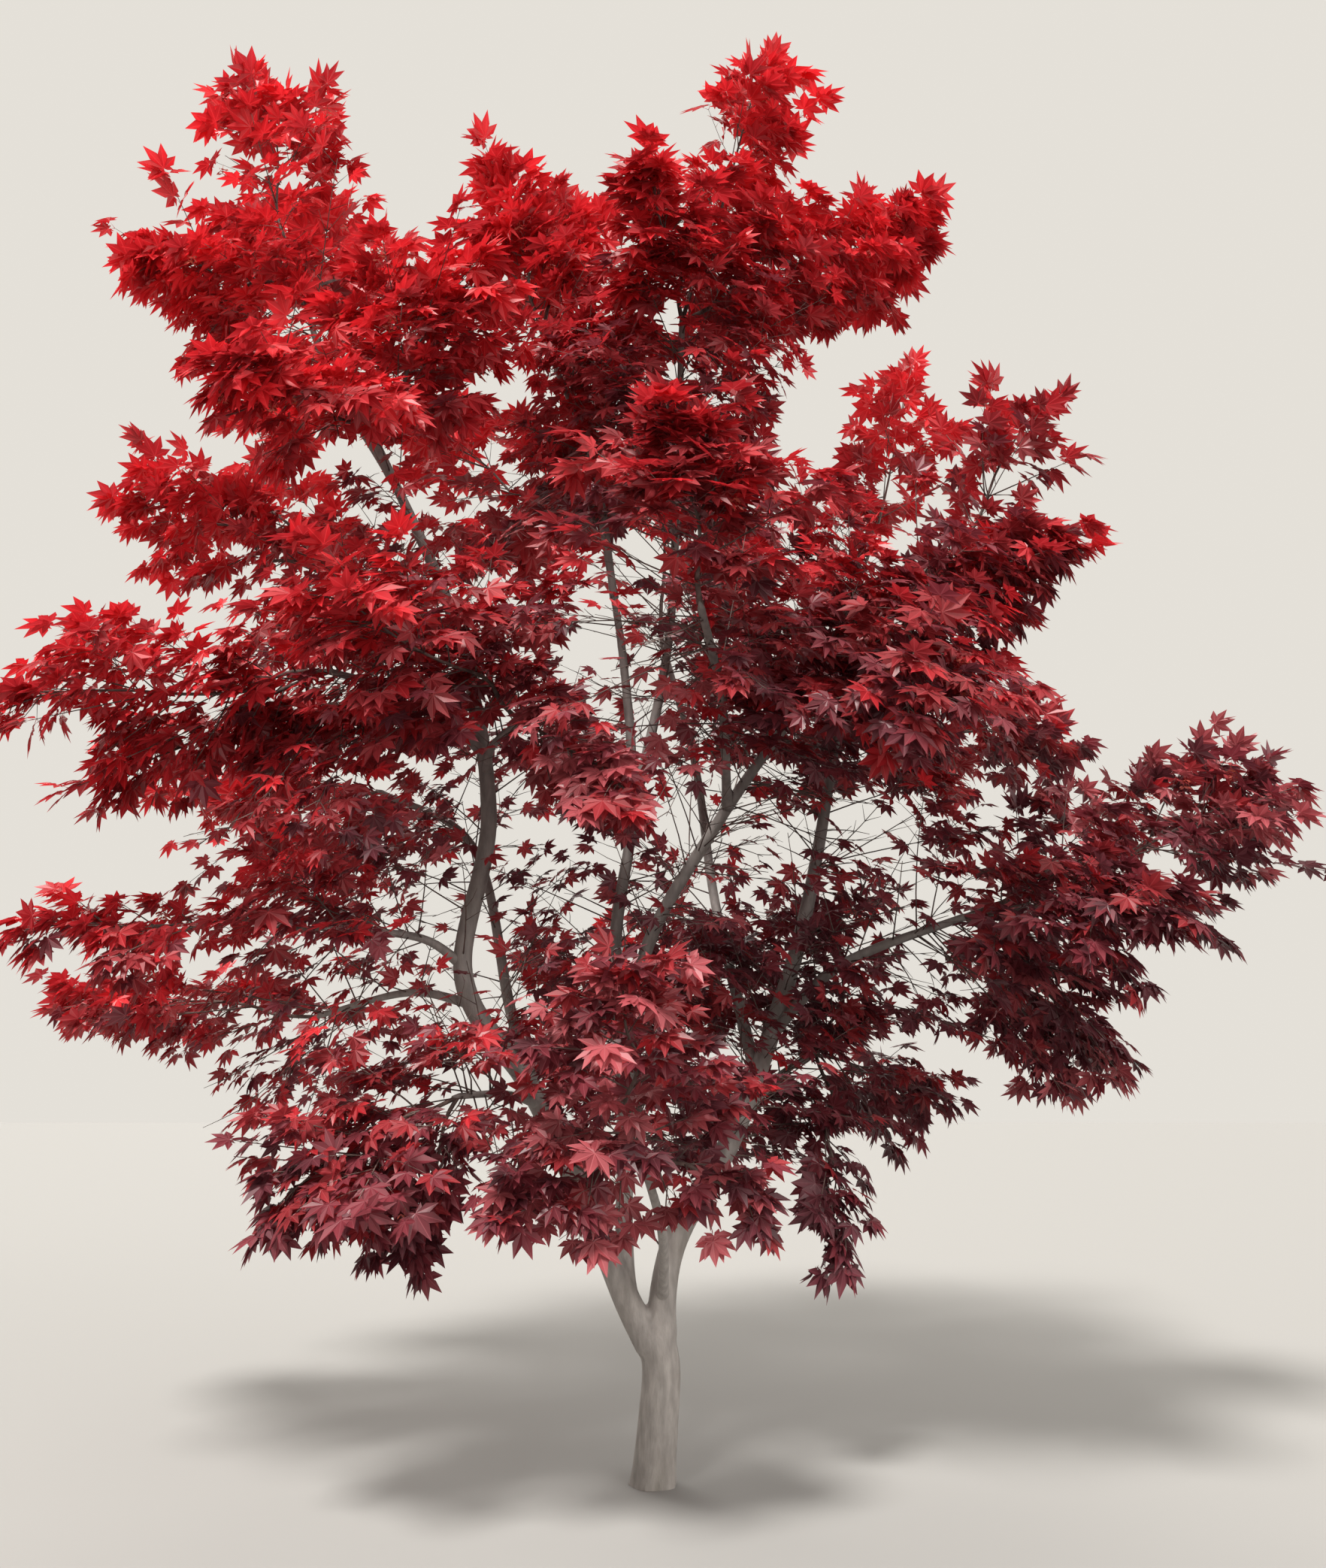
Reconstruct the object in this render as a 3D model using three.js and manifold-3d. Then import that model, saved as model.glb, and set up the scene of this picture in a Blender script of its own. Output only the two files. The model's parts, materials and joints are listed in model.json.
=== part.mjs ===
// A japanese maple tree about 4.1 m tall: a short trunk, twenty boughs and the masses of foliage on
// their tips. Lengths are millimetres and +Z is up. The origin is the middle of the flat cut under
// the trunk, which stands on level ground. Azimuth +X is the tree's right, and -Y is its front.
import * as THREE from "three";
import { mergeVertices } from "three/addons/utils/BufferGeometryUtils.js";
import Module from "manifold-3d";

const wasm = await Module();
wasm.setup();

// Clear space between pieces that meet
const CLEARANCE = 0.3;

// Trunk: a lean, a taper and a root flare of low lobes
const TRUNK_WAY = [[-2, 0, -30], [10, 0, 145], [17, 0, 260], [5, 0, 340]];
const TRUNK_FOOT_RADIUS = 51;
const TRUNK_FORK_RADIUS = 47;
const FLARE = 8;
const FLARE_HEIGHT = 45;
const FLARE_LOBES = 5;
const FLARE_LOBE_SHARE = 0.45;
const TRUNK_SIDES = 15;
const TRUNK_STEPS = 6;

// Boughs: what each grows from, at what share of its length, the points it passes, and its radii
const BOUGHS = [
  { name: "left_stem", from: "trunk", at: 0.89, base: 35, tip: 12, sides: 8, steps: 17, way: [
    [-55, -8, 400], [-135, -22, 575], [-310, -60, 935], [-495, -80, 1225], [-445, -60, 1665],
    [-545, -125, 2175], [-775, -240, 2690]] },
  { name: "right_stem", from: "trunk", at: 0.92, base: 35, tip: 12, sides: 8, steps: 11, way: [
    [48, 15, 555], [205, 30, 825], [350, 80, 1195], [440, 125, 1510], [550, 200, 2060]] },
  { name: "centre_stem", from: "left_stem", at: 0.06, base: 24, tip: 10, sides: 7, steps: 12, way: [
    [-78, 25, 610], [-80, 80, 840], [-110, 140, 1325], [-65, 160, 1720], [-95, 190, 2170],
    [-165, 180, 2620]] },
  { name: "inner_right", from: "centre_stem", at: 0.21, base: 21, tip: 10, sides: 6, steps: 8, way: [
    [-30, 40, 1285], [150, -30, 1610], [400, -130, 1950], [650, -200, 2200]] },
  { name: "leader", from: "centre_stem", at: 0.58, base: 15, tip: 9, sides: 6, steps: 8, way: [
    [30, 140, 2155], [60, 100, 2560], [80, 20, 3205]] },
  { name: "behind_left", from: "left_stem", at: 0.25, base: 18, tip: 9, sides: 6, steps: 8, way: [
    [-390, 120, 1135], [-530, 240, 1625], [-845, 360, 1820]] },
  { name: "inner_back", from: "right_stem", at: 0.39, base: 16, tip: 10, sides: 6, steps: 8, way: [
    [175, 330, 1475], [125, 570, 1945], [15, 820, 2460]] },
  { name: "left_tier", from: "left_stem", at: 0.42, base: 12, tip: 7, sides: 6, steps: 5, way: [
    [-605, -140, 1320], [-820, -260, 1330]] },
  { name: "left_low", from: "left_stem", at: 0.38, base: 12, tip: 7, sides: 6, steps: 5, way: [
    [-660, 20, 1190], [-950, 160, 1130]] },
  { name: "low_left", from: "left_stem", at: 0.26, base: 11, tip: 7, sides: 6, steps: 4, way: [
    [-370, -200, 930], [-475, -330, 925]] },
  { name: "right_low", from: "right_stem", at: 0.455, base: 16, tip: 10, sides: 6, steps: 5, way: [
    [500, 20, 1265], [835, -60, 1390]] },
  { name: "right_down", from: "right_stem", at: 0.32, base: 12, tip: 7, sides: 6, steps: 4, way: [
    [345, 160, 980], [465, 280, 1040]] },
  { name: "mid_left", from: "left_stem", at: 0.64, base: 13, tip: 8, sides: 6, steps: 5, way: [
    [-600, -280, 1915], [-800, -480, 1930]] },
  { name: "mid_left_up", from: "left_stem", at: 0.755, base: 12, tip: 8, sides: 6, steps: 5, way: [
    [-715, 40, 2295], [-1025, 200, 2460]] },
  { name: "top_left", from: "left_stem", at: 0.94, base: 11, tip: 8, sides: 6, steps: 5, way: [
    [-905, -200, 2875], [-1005, -150, 3140]] },
  { name: "front_low", from: "right_stem", at: 0.06, base: 14, tip: 9, sides: 6, steps: 5, way: [
    [20, -220, 610], [-30, -480, 810]] },
  { name: "front_high", from: "inner_right", at: 0.55, base: 13, tip: 9, sides: 6, steps: 5, way: [
    [165, -420, 1875], [105, -700, 2020]] },
  { name: "back_low", from: "centre_stem", at: 0.095, base: 14, tip: 9, sides: 6, steps: 5, way: [
    [-50, 420, 875], [-55, 700, 935]] },
  { name: "centre_up", from: "centre_stem", at: 0.885, base: 11, tip: 8, sides: 6, steps: 5, way: [
    [-190, 180, 2790], [-355, 120, 3215]] },
  { name: "elbow", from: "left_stem", at: 0.618, base: 11, tip: 8, sides: 6, steps: 4, way: [
    [-425, -170, 1820], [-330, -300, 1860]] },
];

// Masses of foliage: the bough whose tip carries each, its far end, its width and its depth
const MASSES = [
  { name: "upper_left_centre", bough: "left_stem", end: [-480, -300, 3205], wide: 760, deep: 480 },
  { name: "upper_left_front", bough: "left_stem", end: [-940, -900, 2505], wide: 620, deep: 400 },
  { name: "left_peak", bough: "top_left", end: [-1180, -150, 3895], wide: 500, deep: 740 },
  { name: "left_shoulder", bough: "top_left", end: [-1410, -350, 3180], wide: 600, deep: 420 },
  { name: "left_top_back", bough: "top_left", end: [-1090, 640, 3930], wide: 620, deep: 480 },
  { name: "high_left", bough: "centre_up", end: [-500, 40, 3740], wide: 460, deep: 400 },
  { name: "high_mid", bough: "centre_up", end: [-250, 420, 3870], wide: 520, deep: 400 },
  { name: "mid_crown", bough: "centre_stem", end: [-840, 760, 3200], wide: 800, deep: 560 },
  { name: "peak", bough: "leader", end: [370, 0, 4150], wide: 520, deep: 420 },
  { name: "leader_left", bough: "leader", end: [-30, -420, 3420], wide: 480, deep: 400 },
  { name: "top_right_pad", bough: "leader", end: [900, 200, 3610], wide: 760, deep: 560 },
  { name: "centre_back", bough: "inner_back", end: [10, 1130, 3460], wide: 940, deep: 700 },
  { name: "right_plume", bough: "inner_right", end: [1140, -160, 2875], wide: 520, deep: 400 },
  { name: "right_shelf", bough: "inner_right", end: [1085, -300, 2370], wide: 640, deep: 460 },
  { name: "right_front", bough: "inner_right", end: [530, -900, 1680], wide: 720, deep: 400 },
  { name: "right_mid", bough: "right_stem", end: [1390, 720, 2035], wide: 680, deep: 520 },
  { name: "right_behind", bough: "right_stem", end: [960, 950, 3580], wide: 700, deep: 520 },
  { name: "far_right", bough: "right_low", end: [1810, 130, 1790], wide: 700, deep: 660 },
  { name: "far_right_front", bough: "right_low", end: [1180, -650, 1340], wide: 660, deep: 400 },
  { name: "low_right_pad", bough: "right_low", end: [1240, 120, 1010], wide: 720, deep: 560 },
  { name: "right_skirt", bough: "right_down", end: [785, 620, 935], wide: 680, deep: 500 },
  { name: "right_tassel", bough: "right_down", end: [475, -120, 540], wide: 340, deep: 320 },
  { name: "right_inner", bough: "right_down", end: [655, 330, 1630], wide: 420, deep: 360 },
  { name: "front_centre", bough: "front_low", end: [-70, -860, 1225], wide: 620, deep: 460 },
  { name: "front_left", bough: "front_low", end: [-320, -620, 700], wide: 540, deep: 360 },
  { name: "front_right", bough: "front_low", end: [230, -560, 710], wide: 500, deep: 300 },
  { name: "front_crown", bough: "front_high", end: [50, -950, 2385], wide: 820, deep: 520 },
  { name: "mid_cluster", bough: "elbow", end: [-45, -700, 1580], wide: 500, deep: 400 },
  { name: "mid_left_front", bough: "elbow", end: [-740, -950, 1985], wide: 700, deep: 480 },
  { name: "left_reach", bough: "mid_left", end: [-1505, -700, 1775], wide: 620, deep: 460 },
  { name: "left_under", bough: "mid_left", end: [-1390, -300, 1665], wide: 580, deep: 320 },
  { name: "left_upper_reach", bough: "mid_left_up", end: [-1590, 100, 2680], wide: 580, deep: 440 },
  { name: "left_rise", bough: "mid_left_up", end: [-1440, 620, 3270], wide: 540, deep: 440 },
  { name: "left_back_low", bough: "behind_left", end: [-1580, 850, 1750], wide: 760, deep: 500 },
  { name: "left_tier_pad", bough: "left_tier", end: [-1540, -400, 1320], wide: 640, deep: 320 },
  { name: "left_low_pad", bough: "left_low", end: [-1740, 360, 1215], wide: 660, deep: 320 },
  { name: "skirt_left", bough: "low_left", end: [-855, -500, 680], wide: 700, deep: 600 },
  { name: "low_tassel", bough: "low_left", end: [-545, -300, 600], wide: 320, deep: 320 },
  { name: "back_skirt", bough: "back_low", end: [-130, 1230, 1580], wide: 900, deep: 600 },
];

// The branching rule of a mass: a stem, opposite twigs at its nodes, and side twigs on long ones
const STEM_RADIUS = 9;
const STEM_TIP_RADIUS = 5;
const STEM_SIDES = 4;
const STEM_STEPS = 3;
const STEM_SWAY = 0.05;
const STEM_SWAY_SHARES = [0.4, 0.7];
const STEM_SINK = 6;
const STEM_LEAVE = 0.12;
const NODE_SHARES = [0.18, 0.4, 0.62, 0.84];
const NODE_JITTER = 0.06;
const FORK_ANGLE = THREE.MathUtils.degToRad(58);
const FORK_JITTER = THREE.MathUtils.degToRad(14);
const TWIG_SECTION = [[0.9, -0.5], [-0.9, -0.5], [0, 1]];
const TWIG_SECTION_HEIGHT = 1.5;
const TWIG_RADIUS = 3.4;
const SIDE_TWIG_RADIUS = 1.3;
const TWIG_TIP_RADIUS = 2;
const TWIG_FILL = 1.03;
const TWIG_SHORTEST = 30;
const STUB = 8;
const SIDE_TWIG_FROM = 74;
const SIDE_TWIG_AT = 0.55;
const SIDE_TWIG_STAGGER = 0.04;
const SIDE_TWIG_LONGEST = 260;
const LEAD_ROOT_SHARE = 0.97;
const LEAD_RADIUS = 3.5;
const LEAD_SHARE = 0.4;

// What the parts of a mass add to the index of the numbers they draw from its seed
const LEAD_INDEX = 5;
const NODE_INDEX = 10;
const FORK_INDEX = 3;
const SPRAY_INDEX = 6;
const SIDE_INDEX = 7;

// A leaf stands for a spray: three pointed lobes, as shares of its length, in turn round its edge
const LEAF_EDGE = [[0.42, -0.6], [0.58, -0.26], [1, 0], [0.58, 0.26], [0.42, 0.6]];
const LEAF_THICKNESS = 0.018;
const LEAF_ROOM_SHARE = 0.85;
const LEAF_SHORTEST = 130;
const LEAF_LONGEST = 420;
const LEAF_LEAN = THREE.MathUtils.degToRad(58);
const LEAF_LEAN_JITTER = THREE.MathUtils.degToRad(16);
const LEAF_SWING = 0.35;
const LEAF_HANG = 0.12;
const LEAF_DROOP = 0.1;
const LEAF_SIZES = [1, 0.9, 0.8, 0.7];

// How far a leaf may pass the skin of its space, and the walls between the spaces
const SPACE_SLACK = 1.2;
const WALL_SLACK = 50;

const UP = new THREE.Vector3(0, 0, 1);
const CROWN_AXIS = new THREE.Vector3(-50, 120, 0);
const MERGE_DISTANCE = 1e-4;

const BARK_COLOUR = 0x8a8078;
const BARK_ROUGHNESS = 0.85;
const FOLIAGE_LOW = new THREE.Color(0x5a1a22);
const FOLIAGE_HIGH = new THREE.Color(0xc01820);
const FOLIAGE_ROUGHNESS = 0.6;

const point = ([x, y, z]) => new THREE.Vector3(x, y, z);

// A number from 0 to 1 that depends only on a seed and an index.
function chance(seed, index) {
  const wave = Math.sin(seed * 12.9898 + index * 78.233) * 43758.5453;
  return wave - Math.floor(wave);
}

// The same, from -1 to 1.
function swing(seed, index) {
  return 2 * chance(seed, index) - 1;
}

// A closed geometry as an exact solid.
function solid(geometry) {
  geometry.deleteAttribute("normal");
  geometry.deleteAttribute("uv");
  const merged = mergeVertices(geometry, MERGE_DISTANCE);
  const vertProperties = new Float32Array(merged.attributes.position.array);
  const triVerts = new Uint32Array(merged.index.array);
  return new wasm.Manifold(new wasm.Mesh({ numProp: 3, vertProperties, triVerts }));
}

// The largest body of a solid: loose scraps are dropped and sealed hollows are filled.
function largest(shape) {
  const bodies = shape.decompose();
  bodies.sort((a, b) => b.volume() - a.volume());
  return bodies[0];
}

// A closed tube along a curve, whose rings have the radius that radiusAt gives for a share of the
// length and an angle. It is grown on all sides by grow.
function tube(curve, radiusAt, sides, steps, grow = 0) {
  const geometry = new THREE.CylinderGeometry(1, 1, 1, sides, steps);
  const frames = curve.computeFrenetFrames(steps);
  const position = geometry.attributes.position;
  for (let i = 0; i < position.count; i += 1) {
    const step = Math.round((position.getY(i) + 0.5) * steps);
    const across = position.getX(i);
    const over = position.getZ(i);
    const radius = radiusAt(step / steps, Math.atan2(over, across)) + grow;
    const spot = curve.getPointAt(step / steps);
    spot.addScaledVector(frames.binormals[step], across * radius);
    spot.addScaledVector(frames.normals[step], over * radius);
    if (step === 0) spot.addScaledVector(frames.tangents[0], -grow);
    if (step === steps) spot.addScaledVector(frames.tangents[steps], grow);
    position.setXYZ(i, spot.x, spot.y, spot.z);
  }
  return solid(geometry);
}

// A three-sided twig that widens into a thin leaf of pointed lobes, as one closed geometry.
// The twig runs from root to tip, and the leaf from tip along forward, with its face along up.
function spray({ root, tip, radius, forward, up, length }) {
  const ahead = tip.clone().sub(root).normalize();
  const flank = new THREE.Vector3().crossVectors(up, ahead).normalize();
  const over = new THREE.Vector3().crossVectors(ahead, flank);
  const thick = (LEAF_THICKNESS * length) / TWIG_SECTION_HEIGHT;
  const rings = [[root, radius], [tip, Math.max(TWIG_TIP_RADIUS, thick)]];
  const corners = [];
  for (const [centre, size] of rings) {
    for (const [aside, high] of TWIG_SECTION) {
      const corner = centre.clone().addScaledVector(flank, aside * size);
      corners.push(corner.addScaledVector(over, high * size));
    }
  }
  const side = new THREE.Vector3().crossVectors(up, forward);
  for (const [along, aside] of LEAF_EDGE) {
    const droop = LEAF_DROOP * Math.hypot(along, aside) ** 2;
    const corner = tip.clone().addScaledVector(forward, along * length);
    corner.addScaledVector(side, aside * length).addScaledVector(up, -droop * length);
    corners.push(corner);
  }
  const faces = [0, 1, 2, 0, 3, 4, 0, 4, 1, 1, 4, 5, 1, 5, 2, 2, 5, 3, 2, 3, 0];
  const edge = [4, 6, 7, 8, 9, 10, 3];
  for (let i = 1; i < edge.length; i += 1) {
    faces.push(5, edge[i - 1], edge[i]);
    if (i < edge.length - 1) faces.push(3, edge[i], edge[i - 1]);
  }
  const geometry = new THREE.BufferGeometry().setFromPoints(corners);
  geometry.setIndex(faces);
  return solid(geometry);
}

// Pieces that are in place, each with its box, its owner, what it grows from and at which node
const placed = [];

function boxOf(shape) {
  const { min, max } = shape.boundingBox();
  return new THREE.Box3(point(min), point(max));
}

// Whether a twig and its leaf are clear of every placed piece. Only the twig may meet the piece it
// grows from, and the twig it makes a pair with.
function isClear(shape, leaf, owner, from, node) {
  const box = boxOf(shape).expandByScalar(CLEARANCE);
  return placed.every((other) => {
    if (!box.intersectsBox(other.box)) return true;
    const isPair = other.from === from && other.node === node;
    const joined = other.owner === owner && (other === from || isPair);
    return (joined ? leaf : shape).minGap(other.shape, 2 * CLEARANCE) >= CLEARANCE;
  });
}

function place(shape, owner, from, node) {
  const piece = { shape, owner, from, node, box: boxOf(shape) };
  placed.push(piece);
  return piece;
}

// The trunk: its curve, its radius at a share and angle, and its solid cut flat at the ground.
const trunkCurve = new THREE.CatmullRomCurve3(TRUNK_WAY.map(point), false, "catmullrom");

function trunkRadius(share, angle) {
  const height = share * TRUNK_WAY.at(-1)[2];
  const taper = THREE.MathUtils.lerp(TRUNK_FOOT_RADIUS, TRUNK_FORK_RADIUS, share);
  const lobe = 1 + FLARE_LOBE_SHARE * Math.cos(FLARE_LOBES * angle);
  return taper + FLARE * lobe * Math.exp(-height / FLARE_HEIGHT);
}

// Curves and grown solids of the limbs, by name
const limbs = new Map();
const trunk = tube(trunkCurve, trunkRadius, TRUNK_SIDES, TRUNK_STEPS).trimByPlane([0, 0, 1], 0);
limbs.set("trunk", {
  curve: trunkCurve,
  shape: trunk,
  grown: tube(trunkCurve, trunkRadius, TRUNK_SIDES, TRUNK_STEPS, CLEARANCE),
});
place(trunk, "trunk");

// A bough: one tapering limb from inside its parent, cut clear of every limb before it.
for (const { name, from, at, base, tip, sides, steps, way } of BOUGHS) {
  const root = limbs.get(from).curve.getPointAt(at);
  const curve = new THREE.CatmullRomCurve3([root, ...way.map(point)], false, "catmullrom");
  const radiusAt = (share) => THREE.MathUtils.lerp(base, tip, share);
  let shape = tube(curve, radiusAt, sides, steps);
  for (const earlier of limbs.values()) {
    if (boxOf(shape).intersectsBox(boxOf(earlier.grown))) shape = shape.subtract(earlier.grown);
  }
  shape = largest(shape);
  const grown = tube(curve, radiusAt, sides, steps, CLEARANCE);
  limbs.set(name, { curve, shape, grown });
  place(shape, name);
}

// The space of a mass: an ellipsoid from the tip of its bough to its far end.
function space(mass, seed) {
  const { curve } = limbs.get(mass.bough);
  const root = curve.getPointAt(1);
  const end = point(mass.end);
  const along = end.clone().sub(root);
  const length = along.length();
  along.normalize();
  const across = new THREE.Vector3().crossVectors(along, UP).normalize();
  const over = new THREE.Vector3().crossVectors(across, along);
  const centre = root.clone().add(end).divideScalar(2);
  const halves = [length / 2, mass.wide / 2, mass.deep / 2];
  return { ...mass, seed, curve, root, length, axes: [along, across, over], centre, halves };
}

// How far a point is out from the middle of an ellipsoid: 1 on its surface.
function outness({ centre, axes, halves }, at) {
  const offset = at.clone().sub(centre);
  return Math.hypot(...axes.map((axis, k) => offset.dot(axis) / halves[k]));
}

// How far an ellipsoid reaches from a point inside it, in a direction.
function reach({ centre, axes, halves }, from, direction) {
  const start = axes.map((axis, k) => from.clone().sub(centre).dot(axis) / halves[k]);
  const step = axes.map((axis, k) => direction.dot(axis) / halves[k]);
  const a = step.reduce((sum, v) => sum + v * v, 0);
  const b = step.reduce((sum, v, k) => sum + v * start[k], 0);
  const c = start.reduce((sum, v) => sum + v * v, -1);
  return (-b + Math.sqrt(Math.max(b * b - a * c, 0))) / a;
}

// Half the width of an ellipsoid in a direction.
function support({ axes, halves }, direction) {
  return Math.hypot(...axes.map((axis, k) => direction.dot(axis) * halves[k]));
}

const spaces = MASSES.map((mass, seed) => space(mass, seed + 1));

// Between two spaces stands a plane, which shares out the distance of their middles by their widths.
for (const own of spaces) {
  own.walls = spaces.filter((other) => other !== own).map((other) => {
    const away = other.centre.clone().sub(own.centre);
    const gap = away.length();
    away.normalize();
    const ownHalf = support(own, away);
    const limit = (gap * ownHalf) / (ownHalf + support(other, away));
    return { away, limit: own.centre.dot(away) + limit };
  });
}

// Whether every corner of a shape keeps to a space and its side of each plane.
function isInside(own, shape) {
  const { vertProperties } = shape.getMesh();
  for (let i = 0; i < vertProperties.length; i += 3) {
    const corner = point(vertProperties.subarray(i, i + 3));
    if (outness(own, corner) > SPACE_SLACK) return false;
    if (own.walls.some(({ away, limit }) => corner.dot(away) > limit + WALL_SLACK)) return false;
  }
  return true;
}

// The stem of a mass: from inside the tip of its bough, swaying a little, to near its far end.
function growStem(own) {
  const [along, across, over] = own.axes;
  const stemLength = own.length * (1 - LEAD_SHARE);
  const sunk = own.root.clone().addScaledVector(own.curve.getTangentAt(1), -STEM_SINK);
  const leave = own.root.clone().addScaledVector(along, STEM_LEAVE * own.length);
  const sways = STEM_SWAY_SHARES.map((share, i) => own.root.clone()
    .addScaledVector(along, share * stemLength)
    .addScaledVector(across, swing(own.seed, 2 * i + 1) * STEM_SWAY * own.length)
    .addScaledVector(over, swing(own.seed, 2 * i + 2) * STEM_SWAY * own.length));
  const last = own.root.clone().addScaledVector(along, stemLength);
  const way = [sunk, leave, ...sways, last];
  const stem = new THREE.CatmullRomCurve3(way, false, "catmullrom");
  const radiusAt = (share) => THREE.MathUtils.lerp(STEM_RADIUS, STEM_TIP_RADIUS, share);
  let shape = tube(stem, radiusAt, STEM_SIDES, STEM_STEPS);
  const box = boxOf(shape);
  for (const { grown } of limbs.values()) {
    if (box.intersectsBox(boxOf(grown))) shape = shape.subtract(grown);
  }
  for (const sibling of spaces.filter((other) => other !== own && other.bough === own.bough)) {
    const apart = along.clone().sub(sibling.axes[0]).normalize();
    const offset = own.root.dot(apart) + CLEARANCE / 2;
    shape = shape.trimByPlane(apart.toArray(), offset);
  }
  own.stem = stem;
  own.stemPiece = place(largest(shape), own.name);
  own.parts = [own.stemPiece.shape];
}

// A twig with its leaf, of the largest size that keeps to the space and clear of the rest, or none.
// Leaves hang a little and face up and away from the axis of the crown.
function addSpray(own, { root, direction, radius, longest, from, node, k }) {
  const room = Math.min(reach(own, root, direction) * TWIG_FILL, longest);
  const turn = new THREE.Vector3(swing(own.seed, k), swing(own.seed, k + 1), 0);
  const out = root.clone().addScaledVector(direction, room).sub(CROWN_AXIS).setZ(0);
  out.normalize().addScaledVector(turn, LEAF_SWING).normalize();
  const lean = LEAF_LEAN + swing(own.seed, k + 2) * LEAF_LEAN_JITTER;
  const forward = direction.clone().addScaledVector(UP, -LEAF_HANG).normalize();
  const up = UP.clone().multiplyScalar(Math.cos(lean)).addScaledVector(out, Math.sin(lean));
  up.addScaledVector(forward, -up.dot(forward)).normalize();
  const full = THREE.MathUtils.clamp(room * LEAF_ROOM_SHARE, LEAF_SHORTEST, LEAF_LONGEST);
  for (const size of LEAF_SIZES) {
    const length = full * size;
    const tip = root.clone().addScaledVector(direction, Math.max(room - length, TWIG_SHORTEST));
    const shape = spray({ root, tip, radius, forward, up, length });
    const stub = tip.clone().addScaledVector(direction, -STUB);
    const leaf = spray({ root: stub, tip, radius, forward, up, length });
    if (isInside(own, shape) && isClear(shape, leaf, own.name, from, node)) {
      own.parts.push(shape);
      const piece = place(shape, own.name, from, node);
      return { root, tip, direction, piece, k };
    }
  }
  return null;
}

// The middle of a tube at a share of its length, on the straight runs between its rings.
function middleOf(curve, steps, share) {
  const step = Math.min(Math.floor(share * steps), steps - 1);
  const start = curve.getPointAt(step / steps);
  return start.lerp(curve.getPointAt((step + 1) / steps), share * steps - step);
}

// The leading spray at the tip of the stem, and opposite pairs of twigs at its nodes, each pair
// turned a quarter from the one before.
function growTwigs(own) {
  const [along, across, over] = own.axes;
  const { length: longest, stemPiece: from } = own;
  const end = middleOf(own.stem, STEM_STEPS, LEAD_ROOT_SHARE);
  const lead = { root: end, direction: along, radius: LEAD_RADIUS, longest, from, node: -1 };
  const twigs = [addSpray(own, { ...lead, k: LEAD_INDEX })];
  NODE_SHARES.forEach((share, node) => {
    const k = NODE_INDEX * (node + 1);
    const at = share + swing(own.seed, k) * NODE_JITTER;
    const root = middleOf(own.stem, STEM_STEPS, at);
    const forward = own.stem.getTangentAt(at);
    const turn = (node % 2) * (Math.PI / 2) + swing(own.seed, k + 1) * FORK_JITTER;
    const out = across.clone().multiplyScalar(Math.cos(turn)).addScaledVector(over, Math.sin(turn));
    for (const hand of [-1, 1]) {
      const fork = FORK_ANGLE + swing(own.seed, k + FORK_INDEX + hand) * FORK_JITTER;
      const direction = forward.clone().multiplyScalar(Math.cos(fork));
      direction.addScaledVector(out, hand * Math.sin(fork)).normalize();
      const radius = THREE.MathUtils.lerp(TWIG_RADIUS, TWIG_TIP_RADIUS, at);
      const twig = { root, direction, radius, longest, from, node };
      twigs.push(addSpray(own, { ...twig, k: k + SPRAY_INDEX + 2 * hand }));
    }
  });
  own.twigs = twigs.filter((twig) => twig);
}

// A pair of side twigs on each twig that is long for its leaf.
function growSideTwigs(own) {
  for (const { root, tip, direction, piece, k } of own.twigs) {
    if (root.distanceTo(tip) < SIDE_TWIG_FROM) continue;
    const side = new THREE.Vector3().crossVectors(UP, direction).normalize();
    for (const hand of [-1, 1]) {
      const fork = FORK_ANGLE + swing(own.seed, SIDE_INDEX * k + hand) * FORK_JITTER;
      const turned = direction.clone().multiplyScalar(Math.cos(fork));
      turned.addScaledVector(side, hand * Math.sin(fork)).normalize();
      const at = root.clone().lerp(tip, SIDE_TWIG_AT + hand * SIDE_TWIG_STAGGER);
      const twig = { root: at, direction: turned, radius: SIDE_TWIG_RADIUS, from: piece, node: 0 };
      addSpray(own, { ...twig, longest: SIDE_TWIG_LONGEST, k: SIDE_INDEX * k + 3 * hand });
    }
  }
}

spaces.forEach(growStem);
spaces.forEach(growTwigs);
spaces.forEach(growSideTwigs);

// The parts of a mass joined into one body.
function fuse({ parts }) {
  return largest(wasm.Manifold.union(parts));
}

// A three.js mesh of a solid.
function meshOf(name, shape, colour, roughness) {
  const { vertProperties, triVerts } = shape.getMesh();
  const geometry = new THREE.BufferGeometry();
  geometry.setAttribute("position", new THREE.BufferAttribute(vertProperties, 3));
  geometry.setIndex(new THREE.BufferAttribute(triVerts, 1));
  geometry.computeVertexNormals();
  const material = new THREE.MeshStandardMaterial({ color: colour, roughness, metalness: 0 });
  const mesh = new THREE.Mesh(geometry, material);
  mesh.name = name;
  return mesh;
}

const tree = new THREE.Group();
for (const [name, { shape }] of limbs) {
  tree.add(meshOf(name, shape, BARK_COLOUR, BARK_ROUGHNESS));
}
const highest = Math.max(...spaces.map(({ centre }) => centre.z));
for (const own of spaces) {
  const colour = FOLIAGE_LOW.clone().lerp(FOLIAGE_HIGH, own.centre.z / highest);
  tree.add(meshOf(`foliage_${own.name}`, fuse(own), colour, FOLIAGE_ROUGHNESS));
}

export default tree;
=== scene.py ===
# %% [markdown]
# A japanese maple tree. The script is a lesson in cells: each cell makes one thing on the tree, from the
# imported solids that it starts with to the light that falls on it. All lengths are metres, +Z is up, the
# tree's front looks along -Y, and the origin is the middle of the flat cut under the trunk. The packed
# solids give the tree its size, so their box is kept here, and the leaves are kept inside it further on.

# %% Load the imported solids
import json
import math

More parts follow.
